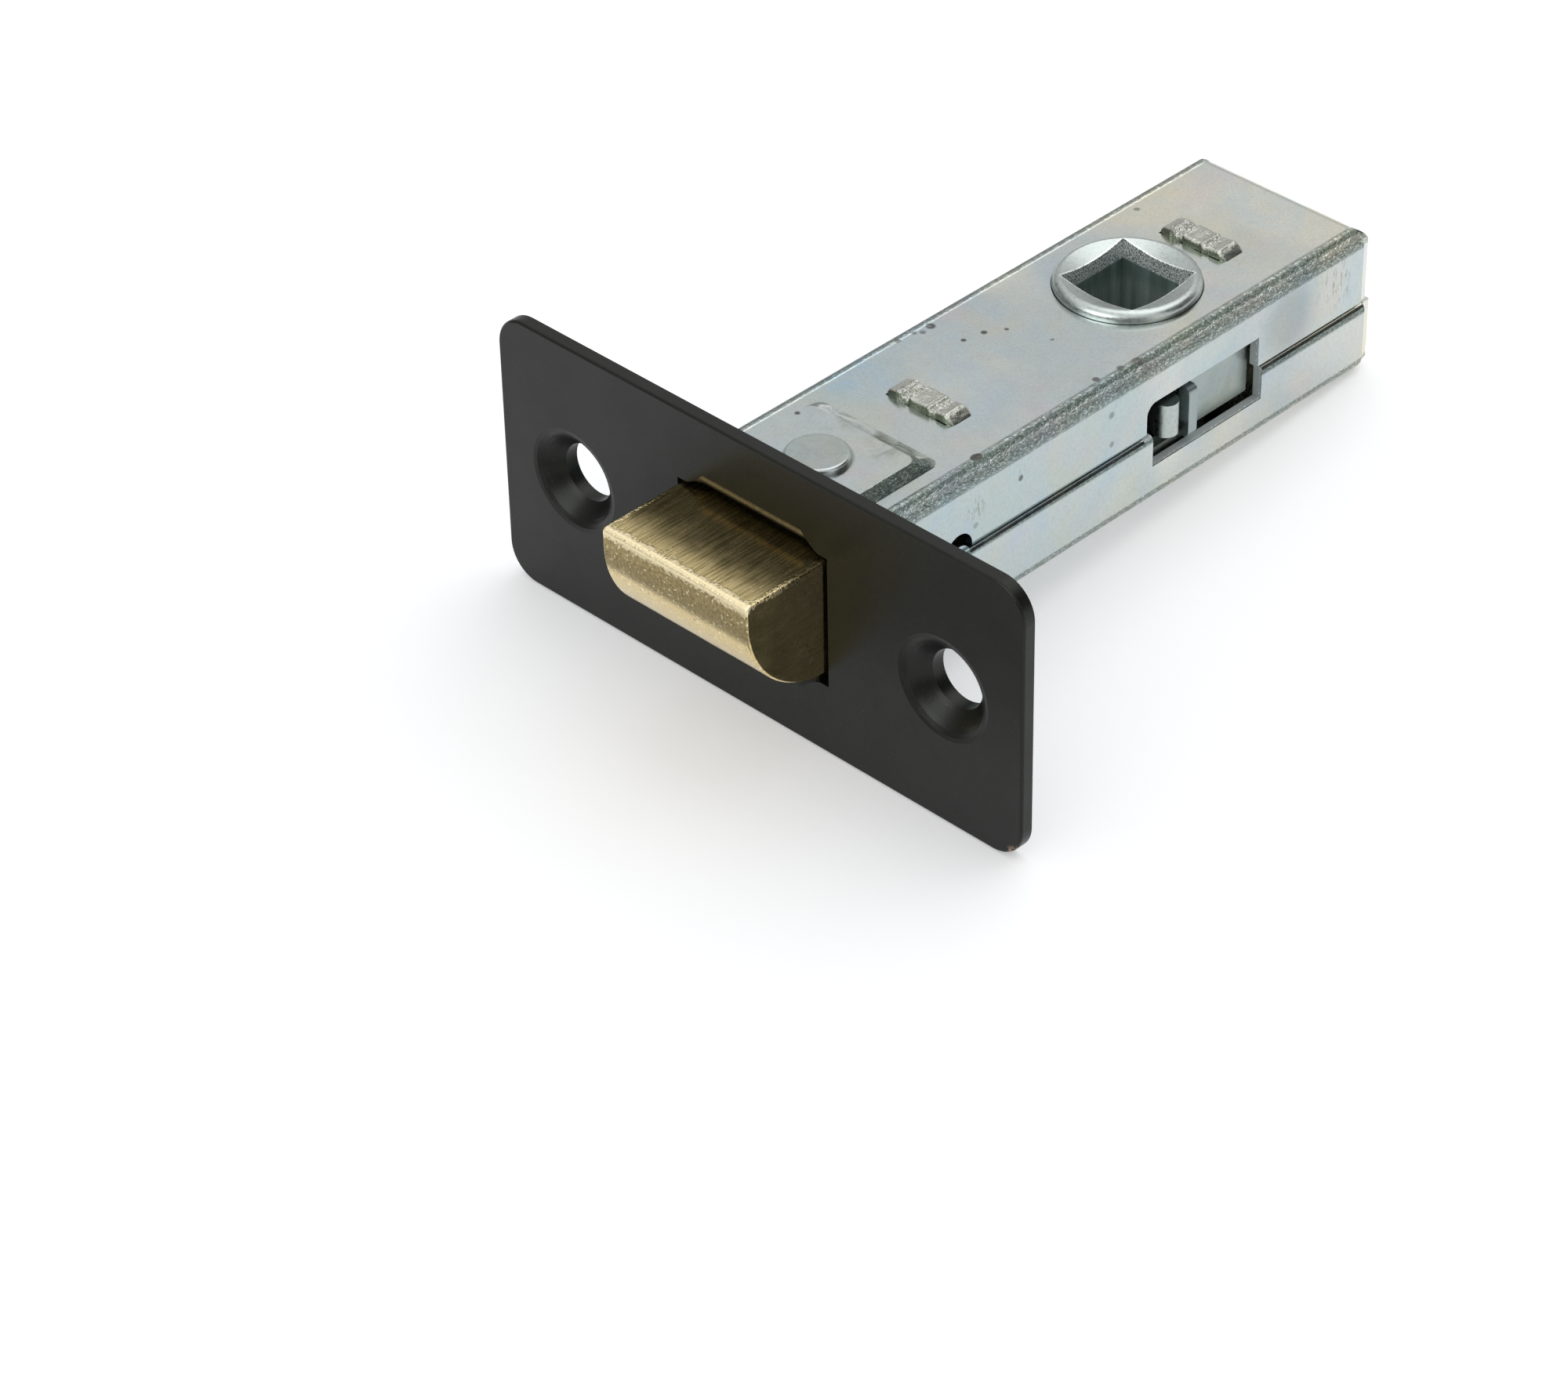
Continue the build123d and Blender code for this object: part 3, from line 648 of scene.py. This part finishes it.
def case_finish(name):
    """Zinc for the folded shells, with their bends, slopes, cut edges and marks."""
    zinc = Finish(name)
    colour, grain, smudge = zinc_ground(zinc)
    side = zinc.ramp(zinc.size(zinc.x), CASE_SIDE - 0.15, CASE_SIDE - 0.02)
    peel_place = zinc.stretched((1.0, 0.55, 1.0))
    peel = zinc.noise(2.6, detail=3.0, roughness=0.75, place=peel_place)
    spark = zinc.noise(5.5, detail=2.0, roughness=0.8, place=peel_place)
    colour = side_shade_and_patch(zinc, colour, side)
    colour, stretched = stretched_plate_shade_and_glints(zinc, colour, spark)
    colour = seam_shade(zinc, colour, side, spark)
    colour, cut = window_edges(zinc, colour, spark)
    colour = pad_shine(zinc, colour, smudge)
    colour = pits_and_stain(zinc, colour, smudge)
    colour = ring_shade_rubs_and_scuffs(zinc, colour, smudge)
    roughness = zinc.ramp(zinc.noise(0.7, detail=4.0), 0.3, 0.7, 0.17, 0.25)
    roughness = zinc.math("ADD", roughness, zinc.times(stretched, 0.16))
    roughness = zinc.math("ADD", roughness, zinc.times(cut, 0.35))
    normal = zinc.bump(grain, 0.004, 0.6)
    normal = zinc.bump(zinc.noise(0.3, detail=1.0), 0.05, 0.2, under=normal)
    normal = zinc.bump(zinc.times(peel, stretched), 0.22, 0.7, under=normal)
    metal = zinc.math("SUBTRACT", 1.0, zinc.times(cut, 0.75))
    return zinc.set(Base_Color=colour, Metallic=metal, Roughness=roughness, Normal=normal)


def plain_zinc_finish(name, tint, roughness):
    """Zinc for the small rigid pieces: the plain ground under one tint."""
    zinc = Finish(name)
    colour, grain, smudge = zinc_ground(zinc)
    colour = zinc.tinted(colour, tint)
    coarse = zinc.noise(1.6, detail=4.0, roughness=0.7)
    normal = zinc.bump(coarse, 0.03, 0.5, under=zinc.bump(grain, 0.01, 0.6))
    blotch = zinc.ramp(smudge, 0.4, 0.65, roughness, roughness + 0.12)
    return zinc.set(Base_Color=colour, Metallic=1.0, Roughness=blotch, Normal=normal)


case_zinc = case_finish("case_zinc")
plate_zinc = plain_zinc_finish("plate_zinc", tint=(0.95, 0.97, 0.93), roughness=0.24)
rivet_zinc = plain_zinc_finish("rivet_zinc", tint=(0.76, 0.78, 0.745), roughness=0.26)
# the retractor's darker tint is painted shade, for its arm seen inside the case through the window
retractor_zinc = plain_zinc_finish("retractor_zinc", tint=(0.58, 0.63, 0.64), roughness=0.30)
for node_name, finish in (
    ("upper_case", case_zinc), ("lower_case", case_zinc), ("upper_rivet", rivet_zinc),
    ("lower_rivet", rivet_zinc), ("retractor", retractor_zinc),
):
    nodes[node_name].data.materials[0] = finish

# %% [markdown]
# The follower.
# The hub that the spindle turns is pressed from powder or cast, then tumbled and plated.
# Its dished end has a brighter, slightly pebbled skin, and the broach that cut the square
# has left a thin burr along the edges of the hole, bright with a painted highlight.  The walls
# of the square are matt, grey-green and streaked the way the broach went; their dark tone is
# painted shade inside the hole, and more painted shade darkens them towards each mouth.

# %% Follower finish
FOLLOWER_ZINC = (0.51, 0.555, 0.54)
FOLLOWER_Y = 44.0
SQUARE_HALF = 3.9
BURR_WIDTH = 0.13
PEBBLE_SHADE = (0.80, 0.82, 0.80)
# painted shade inside the square hole, and more at its mouths
WALL_SHADE_DARK = (0.29, 0.35, 0.335)
WALL_SHADE_PALE = (0.44, 0.51, 0.49)
MOUTH_SHADE = (0.56, 0.64, 0.62)
MOUTH_Z = (3.6, 5.6)
RING_Z = (6.0, 6.2)
# painted highlight on the burr
SQUARE_BURR_GLINT = (0.97, 0.98, 0.98)


def follower_finish(name):
    """Pebbled zinc, a painted highlight on the burr round the square, matt streaked walls in painted
    shade.
    """
    zinc = Finish(name)
    pebble = zinc.noise(3.4, detail=3.0, roughness=0.7)
    fine = zinc.noise(8.0, detail=2.0)
    colour = zinc.tinted(FOLLOWER_ZINC, PEBBLE_SHADE, zinc.ramp(pebble, 0.3, 0.6, 0.9, 0.0))
    lengthwise = zinc.size(zinc.math("SUBTRACT", zinc.y, FOLLOWER_Y))
    across = zinc.math("MAXIMUM", zinc.size(zinc.x), lengthwise)
    top = zinc.ramp(zinc.size(zinc.z), *RING_Z)
    wall = zinc.ramp(across, SQUARE_HALF + 0.01, SQUARE_HALF + 0.04, 1.0, 0.0)
    streak = zinc.noise(1.3, detail=3.0, place=zinc.stretched((1.0, 1.0, 0.08)))
    wall_shade_and_streaks = zinc.mix(zinc.ramp(streak, 0.35, 0.65), WALL_SHADE_DARK, WALL_SHADE_PALE)
    wall_shade_and_streaks = zinc.tinted(wall_shade_and_streaks, MOUTH_SHADE, zinc.ramp(zinc.size(zinc.z), *MOUTH_Z))
    colour = zinc.mix(wall, colour, wall_shade_and_streaks)
    burr_glint = zinc.times(zinc.band(across, SQUARE_HALF - 0.02, SQUARE_HALF + BURR_WIDTH, 0.03), top)
    colour = zinc.mix(zinc.times(burr_glint, zinc.ramp(fine, 0.4, 0.55)), colour, SQUARE_BURR_GLINT)
    roughness = zinc.math("ADD", zinc.ramp(pebble, 0.3, 0.7, 0.27, 0.38), zinc.times(wall, 0.3))
    normal = zinc.bump(pebble, 0.018, 0.6)
    normal = zinc.bump(fine, 0.008, 0.5, under=normal)
    return zinc.set(Base_Color=colour, Metallic=1.0, Roughness=roughness, Normal=normal)


nodes["follower"].data.materials[0] = follower_finish("follower_zinc")

# %% [markdown]
# Peened heads.
# Each cross plate has a tab that comes up through a slot of the case.  A chisel-edged punch
# has split its top in two places and a flat one has struck the ends, so the steel has run
# out over the case: a flat middle between two ragged cross steps, and a rounded lump at
# each end.  The punch doesn't land true, so a head lies a little off its tab and is turned
# by a degree or two.  A hammered form like this is a height over a small patch, so the mesh
# is a closed quilt whose points are lifted by a formula: an outline with blunt ends, a level
# for each stretch along the tab, and noise where the steel tore.  The plate under it is the
# CAD's own plate with the square ends of its tabs cut off just below the case's skin, where
# the foot of the quilt takes over.

# %% Peened head
HEAD_REACH = 3.6
HEAD_HALF_THICKNESS = 1.30
HEAD_OFFSET_X = 0.30
HEAD_OFFSET_Y = 0.46
HEAD_TURN = math.radians(1.7)
HEAD_FOOT = 0.3
HEAD_STEPS = (130, 44)
END_WIDTH = 0.74
LEFT_LUMP = 0.78
FLAT_MIDDLE = 0.76
CROSS_STEP = 0.50
RIGHT_LUMP = 0.66
# along the tab: where the steel tore, and the place and width of each burr and notch
TEAR_BANDS = ((-2.45, -1.25), (1.0, 1.75))
BURRS = ((-1.02, 0.07), (0.9, 0.07), (2.62, 0.09))
BURR_HEIGHT = 0.04
NOTCHES = ((-1.25, 0.20, 0.14), (1.6, 0.14, 0.09))
TAB_CUT_DEPTH = 0.2
WELD_DISTANCE = 0.0005 * MM


def cut_plate(plate_name):
    """The CAD's plate without the square ends of its tabs."""
    mesh = bmesh.new()
    mesh.from_mesh(nodes[plate_name].data)
    bmesh.ops.remove_doubles(mesh, verts=mesh.verts, dist=WELD_DISTANCE)
    for side in (1, -1):
        bmesh.ops.bisect_plane(
            mesh, geom=mesh.verts[:] + mesh.edges[:] + mesh.faces[:], dist=1e-8, clear_outer=True,
            plane_co=(0.0, 0.0, side * (CASE_TOP - TAB_CUT_DEPTH) * MM), plane_no=(0.0, 0.0, side),
        )
        bmesh.ops.holes_fill(mesh, edges=[e for e in mesh.edges if e.is_boundary], sides=0)
    for face in mesh.faces:
        face.smooth = False
    data = bpy.data.meshes.new(f"{plate_name}_cut")
    mesh.to_mesh(data)
    mesh.free()
    piece = bpy.data.objects.new(f"{plate_name}_cut", data)
    bpy.context.scene.collection.objects.link(piece)
    data.materials.append(plate_zinc)
    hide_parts(plate_name)
    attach(piece, "case")
    return piece


def smooth_step(value, low, high):
    """0 below low, 1 above high, and smooth between."""
    share = min(1.0, max(0.0, (value - low) / (high - low)))
    return share * share * (3 - 2 * share)


def hump(along, place, width):
    """Bell curve of height 1 round a place."""
    return math.exp(-((along - place) / width) ** 2)


def head_level(along):
    """Height of the peened head over the case at a place along the tab."""
    left = LEFT_LUMP - 0.40 * smooth_step(along, -2.30, -1.30) - 0.12 * smooth_step(-along, 2.5, 3.5)
    middle = FLAT_MIDDLE - 0.03 * smooth_step(along, -1.0, 1.0)
    step = CROSS_STEP + 0.035 * math.sin(9.0 * along)
    right = RIGHT_LUMP + 0.05 * smooth_step(along, 1.9, 2.6) - 0.50 * smooth_step(along, 2.62, 3.6)
    level = left
    for following, start, end in ((middle, -1.34, -1.04), (step, 0.9, 1.12), (right, 1.60, 1.84)):
        level += (following - level) * smooth_step(along, start, end)
    return level + BURR_HEIGHT * sum(hump(along, place, width) for place, width in BURRS)


def tear_share(along):
    """How torn the steel is at a place along the tab, from 0 to 1."""
    shares = []
    for start, end in TEAR_BANDS:
        begun = smooth_step(along, start - 0.15, start + 0.2)
        ended = smooth_step(along, end - 0.08, end + 0.05)
        shares.append(begun * (1 - ended))
    return max(shares)


def crowded(share):
    """A share of 0 to 1 as -1 to 1, with the steps closer together towards both ends."""
    return math.sin((share - 0.5) * math.pi)


def quilt_point(along_share, across_share, seed):
    """A point's place along and across the tab, its height over the case and how torn it is."""
    along = HEAD_REACH * along_share
    swell = noise.noise(Vector((along * 0.8, seed, 0.0))) * 0.09
    notch = sum(depth * hump(along, place, width) for place, width, depth in NOTCHES)
    outline = END_WIDTH + (1 - END_WIDTH) * (1 - abs(along_share) ** 8) ** 0.5
    across = (HEAD_HALF_THICKNESS + swell - notch) * outline * across_share
    rim = (1 - abs(across_share) ** 14) ** 0.5 * (1 - abs(along_share) ** 18) ** 0.5
    torn = tear_share(along)
    place = Vector((along, across, seed))
    lump = noise.noise(place * 1.2) * 0.05 + noise.noise(place * 4.0) * 0.025
    tear = (noise.noise(place * 5.0) * 0.16 + noise.noise(place * 11.0) * 0.12) * torn
    height = (head_level(along) + lump + tear + HEAD_FOOT) * rim - HEAD_FOOT
    return along, across, height, torn


def peened_head(name, y, side, seed, body, finish):
    """Quilt of points over one tab; side is 1 on the upper shell and -1 on the lower."""
    mesh = bmesh.new()
    torn_layer = mesh.verts.layers.float.new("torn")
    columns, rows = HEAD_STEPS
    grid = []
    for i in range(columns + 1):
        line = []
        for j in range(rows + 1):
            along, across, height, torn = quilt_point(crowded(i / columns), crowded(j / rows), seed)
            behind = across + HEAD_OFFSET_Y + along * math.tan(HEAD_TURN)
            vert = mesh.verts.new((
                (along + HEAD_OFFSET_X) * MM, y + behind * MM, side * (CASE_TOP + height) * MM,
            ))
            vert[torn_layer] = torn
            line.append(vert)
        grid.append(line)
    for i in range(columns):
        for j in range(rows):
            corners = [grid[i][j], grid[i + 1][j], grid[i + 1][j + 1], grid[i][j + 1]]
            mesh.faces.new(corners if side > 0 else corners[::-1]).smooth = True
    # the quilt is closed underneath by a fan from its border to one middle point
    border = grid[0] + [line[-1] for line in grid[1:]]
    border += grid[-1][-2::-1] + [line[0] for line in grid[-2:0:-1]]
    middle = mesh.verts.new((
        HEAD_OFFSET_X * MM, y + HEAD_OFFSET_Y * MM, side * (CASE_TOP - HEAD_FOOT) * MM,
    ))
    for first, second in zip(border, border[1:] + border[:1]):
        mesh.faces.new((first, second, middle))
    bmesh.ops.remove_doubles(mesh, verts=mesh.verts, dist=WELD_DISTANCE)
    bmesh.ops.recalc_face_normals(mesh, faces=mesh.faces)
    data = bpy.data.meshes.new(name)
    mesh.to_mesh(data)
    mesh.free()
    piece = bpy.data.objects.new(name, data)
    bpy.context.scene.collection.objects.link(piece)
    data.materials.append(finish)
    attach(piece, body)
    return piece


# %% Finish of the peened heads
PEENED_ZINC = (0.56, 0.57, 0.52)
GRIT_SHADE = (0.66, 0.67, 0.63)
# painted glints where the steel tore, and painted shade on the steep walls
TORN_GLINT = (0.97, 0.97, 0.93)
WALL_SHADE = (0.36, 0.42, 0.32)


def peened_finish(name):
    """Bruised zinc: smooth where a flat punch struck, painted glints where the steel tore, painted
    shade on steep walls.
    """
    zinc = Finish(name)
    torn = zinc.nodes.new("ShaderNodeAttribute")
    torn.attribute_name = "torn"
    crumb = zinc.noise(4.5, detail=3.0, roughness=0.75)
    grit = zinc.noise(9.0, detail=2.0)
    colour = zinc.tinted(PEENED_ZINC, GRIT_SHADE, zinc.ramp(grit, 0.40, 0.58, 0.9, 0.0))
    sparkle = zinc.times(torn.outputs["Fac"], zinc.ramp(crumb, 0.47, 0.56))
    colour = zinc.mix(sparkle, colour, TORN_GLINT)
    tilt = zinc.nodes.new("ShaderNodeSeparateXYZ")
    zinc.links.new(zinc.normal, tilt.inputs[0])
    wall = zinc.ramp(zinc.size(tilt.outputs["Z"]), 0.35, 0.85, 0.85, 0.0)
    colour = zinc.tinted(colour, WALL_SHADE, wall)
    normal = zinc.bump(grit, 0.04, 0.6)
    normal = zinc.bump(zinc.times(crumb, torn.outputs["Fac"]), 0.24, 0.9, under=normal)
    return zinc.set(Base_Color=colour, Metallic=1.0, Roughness=0.3, Normal=normal)


peened_zinc = peened_finish("peened_zinc")

# %% Cut plates and their heads
for number, plate_name in enumerate(("spring_plate", "rear_plate")):
    plate_low, plate_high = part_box(plate_name)
    plate_y = (plate_low.y + plate_high.y) / 2
    plate = cut_plate(plate_name)
    print(plate.name, len(plate.data.polygons), "faces")
    for side, level_name in ((1, "upper"), (-1, "lower")):
        head = peened_head(f"{plate_name}_{level_name}_head", plate_y, side, 3.0 + 2 * number + side,
                           "case", peened_zinc)
        print(head.name, len(head.data.polygons), "faces")

# %% [markdown]
# Black powder coat.
# The forend is sprayed with a fine black powder and baked to a low sheen.  Seen at this
# slant it works like a dim mirror: the flat face shows the white table, the part beside the
# bolt shows the bolt's dark side, and the funnels round the screw holes catch the bright
# panel.  So the colour is almost black, and the sheen, the fine pebble, a worn chip and a
# painted golden reflection of the bolt on the lip over it do the rest.

# %% Powder coat finish
POWDER_BLACK = (0.0036, 0.0044, 0.0034)
COAT_SHEEN = (0.97, 1.0, 0.93)
SPECK_GREY = (0.10, 0.10, 0.09)
CHIP = (27.9, 0.0, -12.2)
CHIP_BROWN = (0.42, 0.28, 0.19)
# painted golden reflection of the bolt on the lip
LIP_PAINTED_REFLECTION = (0.15, 0.115, 0.055)
LIP_TILT = (-0.30, -0.09)
LIP_END_X = (8.0, 8.3)
LIP_Z = (5.9, 7.7)


def powder_coat_finish(name):
    """Baked black powder with a low sheen, a fine pebble, a painted golden reflection on the lip and
    one chip.
    """
    coat = Finish(name)
    pebble = coat.noise(5.5, detail=2.0)
    slow = coat.noise(0.25, detail=3.0)
    speck = coat.noise(7.0, detail=1.0, place=coat.stretched((1, 1, 1), (3.0, 9.0, 4.0)))
    colour = coat.mix(coat.ramp(speck, 0.72, 0.78, 0.0, 0.6), POWDER_BLACK, SPECK_GREY)
    torn = coat.noise(2.2, detail=4.0)
    chip = coat.times(coat.near(CHIP, 0.5, 1.1), coat.ramp(torn, 0.42, 0.52))
    colour = coat.mix(chip, colour, CHIP_BROWN)
    # the rounded lip over the bolt where it starts to turn in: a painted golden reflection of the
    # brass bolt
    tilt = coat.nodes.new("ShaderNodeSeparateXYZ")
    coat.links.new(coat.normal, tilt.inputs[0])
    lip_reflection_band = coat.times(
        coat.band(tilt.outputs["Z"], *LIP_TILT, 0.05),
        coat.ramp(coat.size(coat.x), *LIP_END_X, 1.0, 0.0),
        coat.band(coat.z, *LIP_Z, 0.1),
    )
    colour = coat.mix(coat.times(lip_reflection_band, coat.ramp(torn, 0.3, 0.6, 0.55, 1.0)), colour, LIP_PAINTED_REFLECTION)
    roughness = coat.math("SUBTRACT", coat.ramp(slow, 0.3, 0.7, 0.33, 0.40), coat.times(lip_reflection_band, 0.12))
    normal = coat.bump(pebble, 0.015, 0.5)
    return coat.set(
        Base_Color=colour, Roughness=roughness, Specular_IOR_Level=0.31, Specular_Tint=COAT_SHEEN,
        Normal=normal,
    )


nodes["forend_plate"].data.materials[0] = powder_coat_finish("powder_coat_black")

# %% [markdown]
# Brushed brass.
# The bolt head is brass, brushed along the way it slides and polished enough to mirror the
# black forend behind it.  Its flat nose is cut, not brushed, so it has a coarser skin, and its
# colour is darker and more golden.  Its edges have rubbed against a strike, and a painted
# highlight makes them bright and uneven; small bright grains and dark specks lie along them.

# %% Brass finish
BRASS = (0.82, 0.655, 0.335)
BRASS_CUT = (0.56, 0.44, 0.21)
# worn edges, brightened by a painted highlight
BRASS_WORN_AND_HIGHLIGHT = (0.97, 0.84, 0.54)
BRUSH_SHADE = (0.50, 0.52, 0.42)
BRASS_SPECK = (0.20, 0.13, 0.07)
bolt_low, bolt_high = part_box("latch_bolt")
NOSE_Y = bolt_low.y / MM
BOLT_TOP = bolt_high.z / MM
BOLT_SIDE = bolt_high.x / MM


def brushed_brass_finish(name):
    """Brass with brush lines along Y, a darker cut nose and worn edges with a painted highlight."""
    brass = Finish(name)
    lines = brass.noise(6.5, detail=3.0, roughness=0.6, place=brass.stretched((1.0, 0.04, 1.0)))
    grains = brass.noise(4.0, detail=3.0, roughness=0.7, place=brass.stretched((1.0, 0.8, 1.0)))
    slow = brass.noise(0.5, detail=3.0)
    drop = brass.math("SUBTRACT", BOLT_TOP, brass.z)
    on_top = brass.ramp(drop, 0.1, 0.5, 1.0, 0.35)
    brushed = brass.times(brass.ramp(lines, 0.38, 0.58, 0.92, 0.0), on_top)
    colour = brass.tinted(BRASS, BRUSH_SHADE, brushed)
    nose = brass.ramp(brass.y, NOSE_Y + 0.1, NOSE_Y + 0.35, 1.0, 0.0)
    dark_cut = tuple(0.62 * channel for channel in BRASS_CUT)
    rough_cut = brass.mix(brass.ramp(grains, 0.35, 0.65), dark_cut, BRASS_CUT)
    colour = brass.mix(nose, colour, rough_cut)
    # worn edges with a painted highlight: the nose's top edge, and both edges along the top
    ragged = brass.ramp(brass.math("ADD", grains, brass.times(slow, 0.4)), 0.5, 0.85, -0.22, 0.22)
    set_back = brass.math("SUBTRACT", brass.y, NOSE_Y)
    from_nose = brass.math("SUBTRACT", brass.math("ADD", drop, set_back), ragged)
    nose_edge = brass.ramp(from_nose, 0.62, 0.8, 1.0, 0.0)
    inset = brass.math("SUBTRACT", BOLT_SIDE, brass.size(brass.x))
    from_side = brass.math("SUBTRACT", brass.math("ADD", drop, inset), ragged)
    flank = brass.ramp(from_side, 0.12, 0.34, 1.0, 0.0)
    towards_nose = brass.ramp(set_back, 1.0, 6.5, 1.0, 0.25)
    flank = brass.times(flank, brass.ramp(grains, 0.42, 0.6), towards_nose)
    worn_and_highlight = brass.math("MAXIMUM", nose_edge, flank)
    colour = brass.mix(worn_and_highlight, colour, BRASS_WORN_AND_HIGHLIGHT)
    fleck = brass.noise(3.2, detail=1.0, place=brass.stretched((1, 1, 1), (5.0, 2.0, 8.0)))
    edge_zone = brass.ramp(brass.math("MINIMUM", inset, set_back), 0.2, 2.6, 1.0, 0.25)
    bright_flecks = brass.times(brass.ramp(fleck, 0.64, 0.69), edge_zone)
    colour = brass.mix(bright_flecks, colour, BRASS_WORN_AND_HIGHLIGHT)
    dark_flecks = brass.times(brass.ramp(fleck, 0.30, 0.25), edge_zone, 0.7)
    colour = brass.mix(dark_flecks, colour, BRASS_SPECK)
    roughness = brass.ramp(slow, 0.3, 0.7, 0.19, 0.25)
    coarse = brass.math("MAXIMUM", nose, worn_and_highlight)
    roughness = brass.math("ADD", roughness, brass.times(coarse, 0.14))
    normal = brass.bump(lines, 0.010, 0.6)
    normal = brass.bump(brass.times(grains, coarse), 0.07, 0.6, under=normal)
    return brass.set(Base_Color=colour, Metallic=1.0, Roughness=roughness, Normal=normal)


nodes["latch_bolt"].data.materials[0] = brushed_brass_finish("brushed_brass")

# %% [markdown]
# Bright steel and the spring.
# The bolt's tail and its spring are plain drawn steel.  A bought compression spring has a
# closed turn at each end, so that it sits square in its seats.  The solid in the CAD is an
# even helix, and a piece replaces it: a wire is swept along a coil whose pitch is small in the
# first and last turn.

# %% Steel finish
STEEL = (0.52, 0.52, 0.51)


def bright_steel_finish(name):
    """Drawn steel with faint lines."""
    steel = Finish(name)
    lines = steel.noise(4.0, detail=3.0, place=steel.stretched((1.0, 0.1, 1.0)))
    normal = steel.bump(lines, 0.01, 0.5)
    return steel.set(Base_Color=STEEL, Metallic=1.0, Roughness=0.32, Normal=normal)


bright_steel = bright_steel_finish("bright_steel")
nodes["bolt_tail"].data.materials[0] = bright_steel
nodes["bolt_spring"].data.materials[0] = bright_steel

# %% Spring with closed ends
WIRE_RADIUS = 0.4
END_TURNS = 1.0
OPEN_TURNS = 7.0
STEPS_PER_TURN = 40
WIRE_SIDES = 12
CLOSED_GAP = 0.04
spring_low, spring_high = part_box("bolt_spring")
coil_radius = spring_high.x / MM - WIRE_RADIUS
coil_start = spring_low.y / MM + WIRE_RADIUS
coil_end = spring_high.y / MM - WIRE_RADIUS
closed_pitch = 2 * WIRE_RADIUS + CLOSED_GAP
open_pitch = (coil_end - coil_start - 2 * END_TURNS * closed_pitch) / OPEN_TURNS


def coil_place(turn):
    """Centre of the wire after this many turns from the front end."""
    closed_front = min(turn, END_TURNS)
    closed_back = max(0.0, turn - END_TURNS - OPEN_TURNS)
    opened = turn - closed_front - closed_back
    along = coil_start + (closed_front + closed_back) * closed_pitch + opened * open_pitch
    angle = 2 * math.pi * turn
    return Vector((coil_radius * math.cos(angle), along, coil_radius * math.sin(angle)))


turn_count = 2 * END_TURNS + OPEN_TURNS
steps = int(turn_count * STEPS_PER_TURN)
coil_mesh = bmesh.new()
rings = []
for step in range(steps + 1):
    turn = turn_count * step / steps
    centre = coil_place(turn)
    ahead = (coil_place(turn + 0.001) - coil_place(turn - 0.001)).normalized()
    outward = Vector((centre.x, 0.0, centre.z)).normalized()
    sideways = ahead.cross(outward).normalized()
    ring = []
    for k in range(WIRE_SIDES):
        angle = 2 * math.pi * k / WIRE_SIDES
        round_wire = (outward * math.cos(angle) + sideways * math.sin(angle)) * WIRE_RADIUS
        ring.append(coil_mesh.verts.new((centre + round_wire) * MM))
    rings.append(ring)
for first, second in zip(rings, rings[1:]):
    for k in range(WIRE_SIDES):
        after = (k + 1) % WIRE_SIDES
        coil_mesh.faces.new((first[k], first[after], second[after], second[k])).smooth = True
coil_mesh.faces.new(rings[0][::-1])
coil_mesh.faces.new(rings[-1])
bmesh.ops.recalc_face_normals(coil_mesh, faces=coil_mesh.faces)
coil_data = bpy.data.meshes.new("closed_end_spring")
coil_mesh.to_mesh(coil_data)
coil_mesh.free()
spring = bpy.data.objects.new("closed_end_spring", coil_data)
bpy.context.scene.collection.objects.link(spring)
coil_data.materials.append(bright_steel)
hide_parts("bolt_spring")
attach(spring, "case")
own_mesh(spring)
print("open pitch", round(open_pitch, 2), "mm")
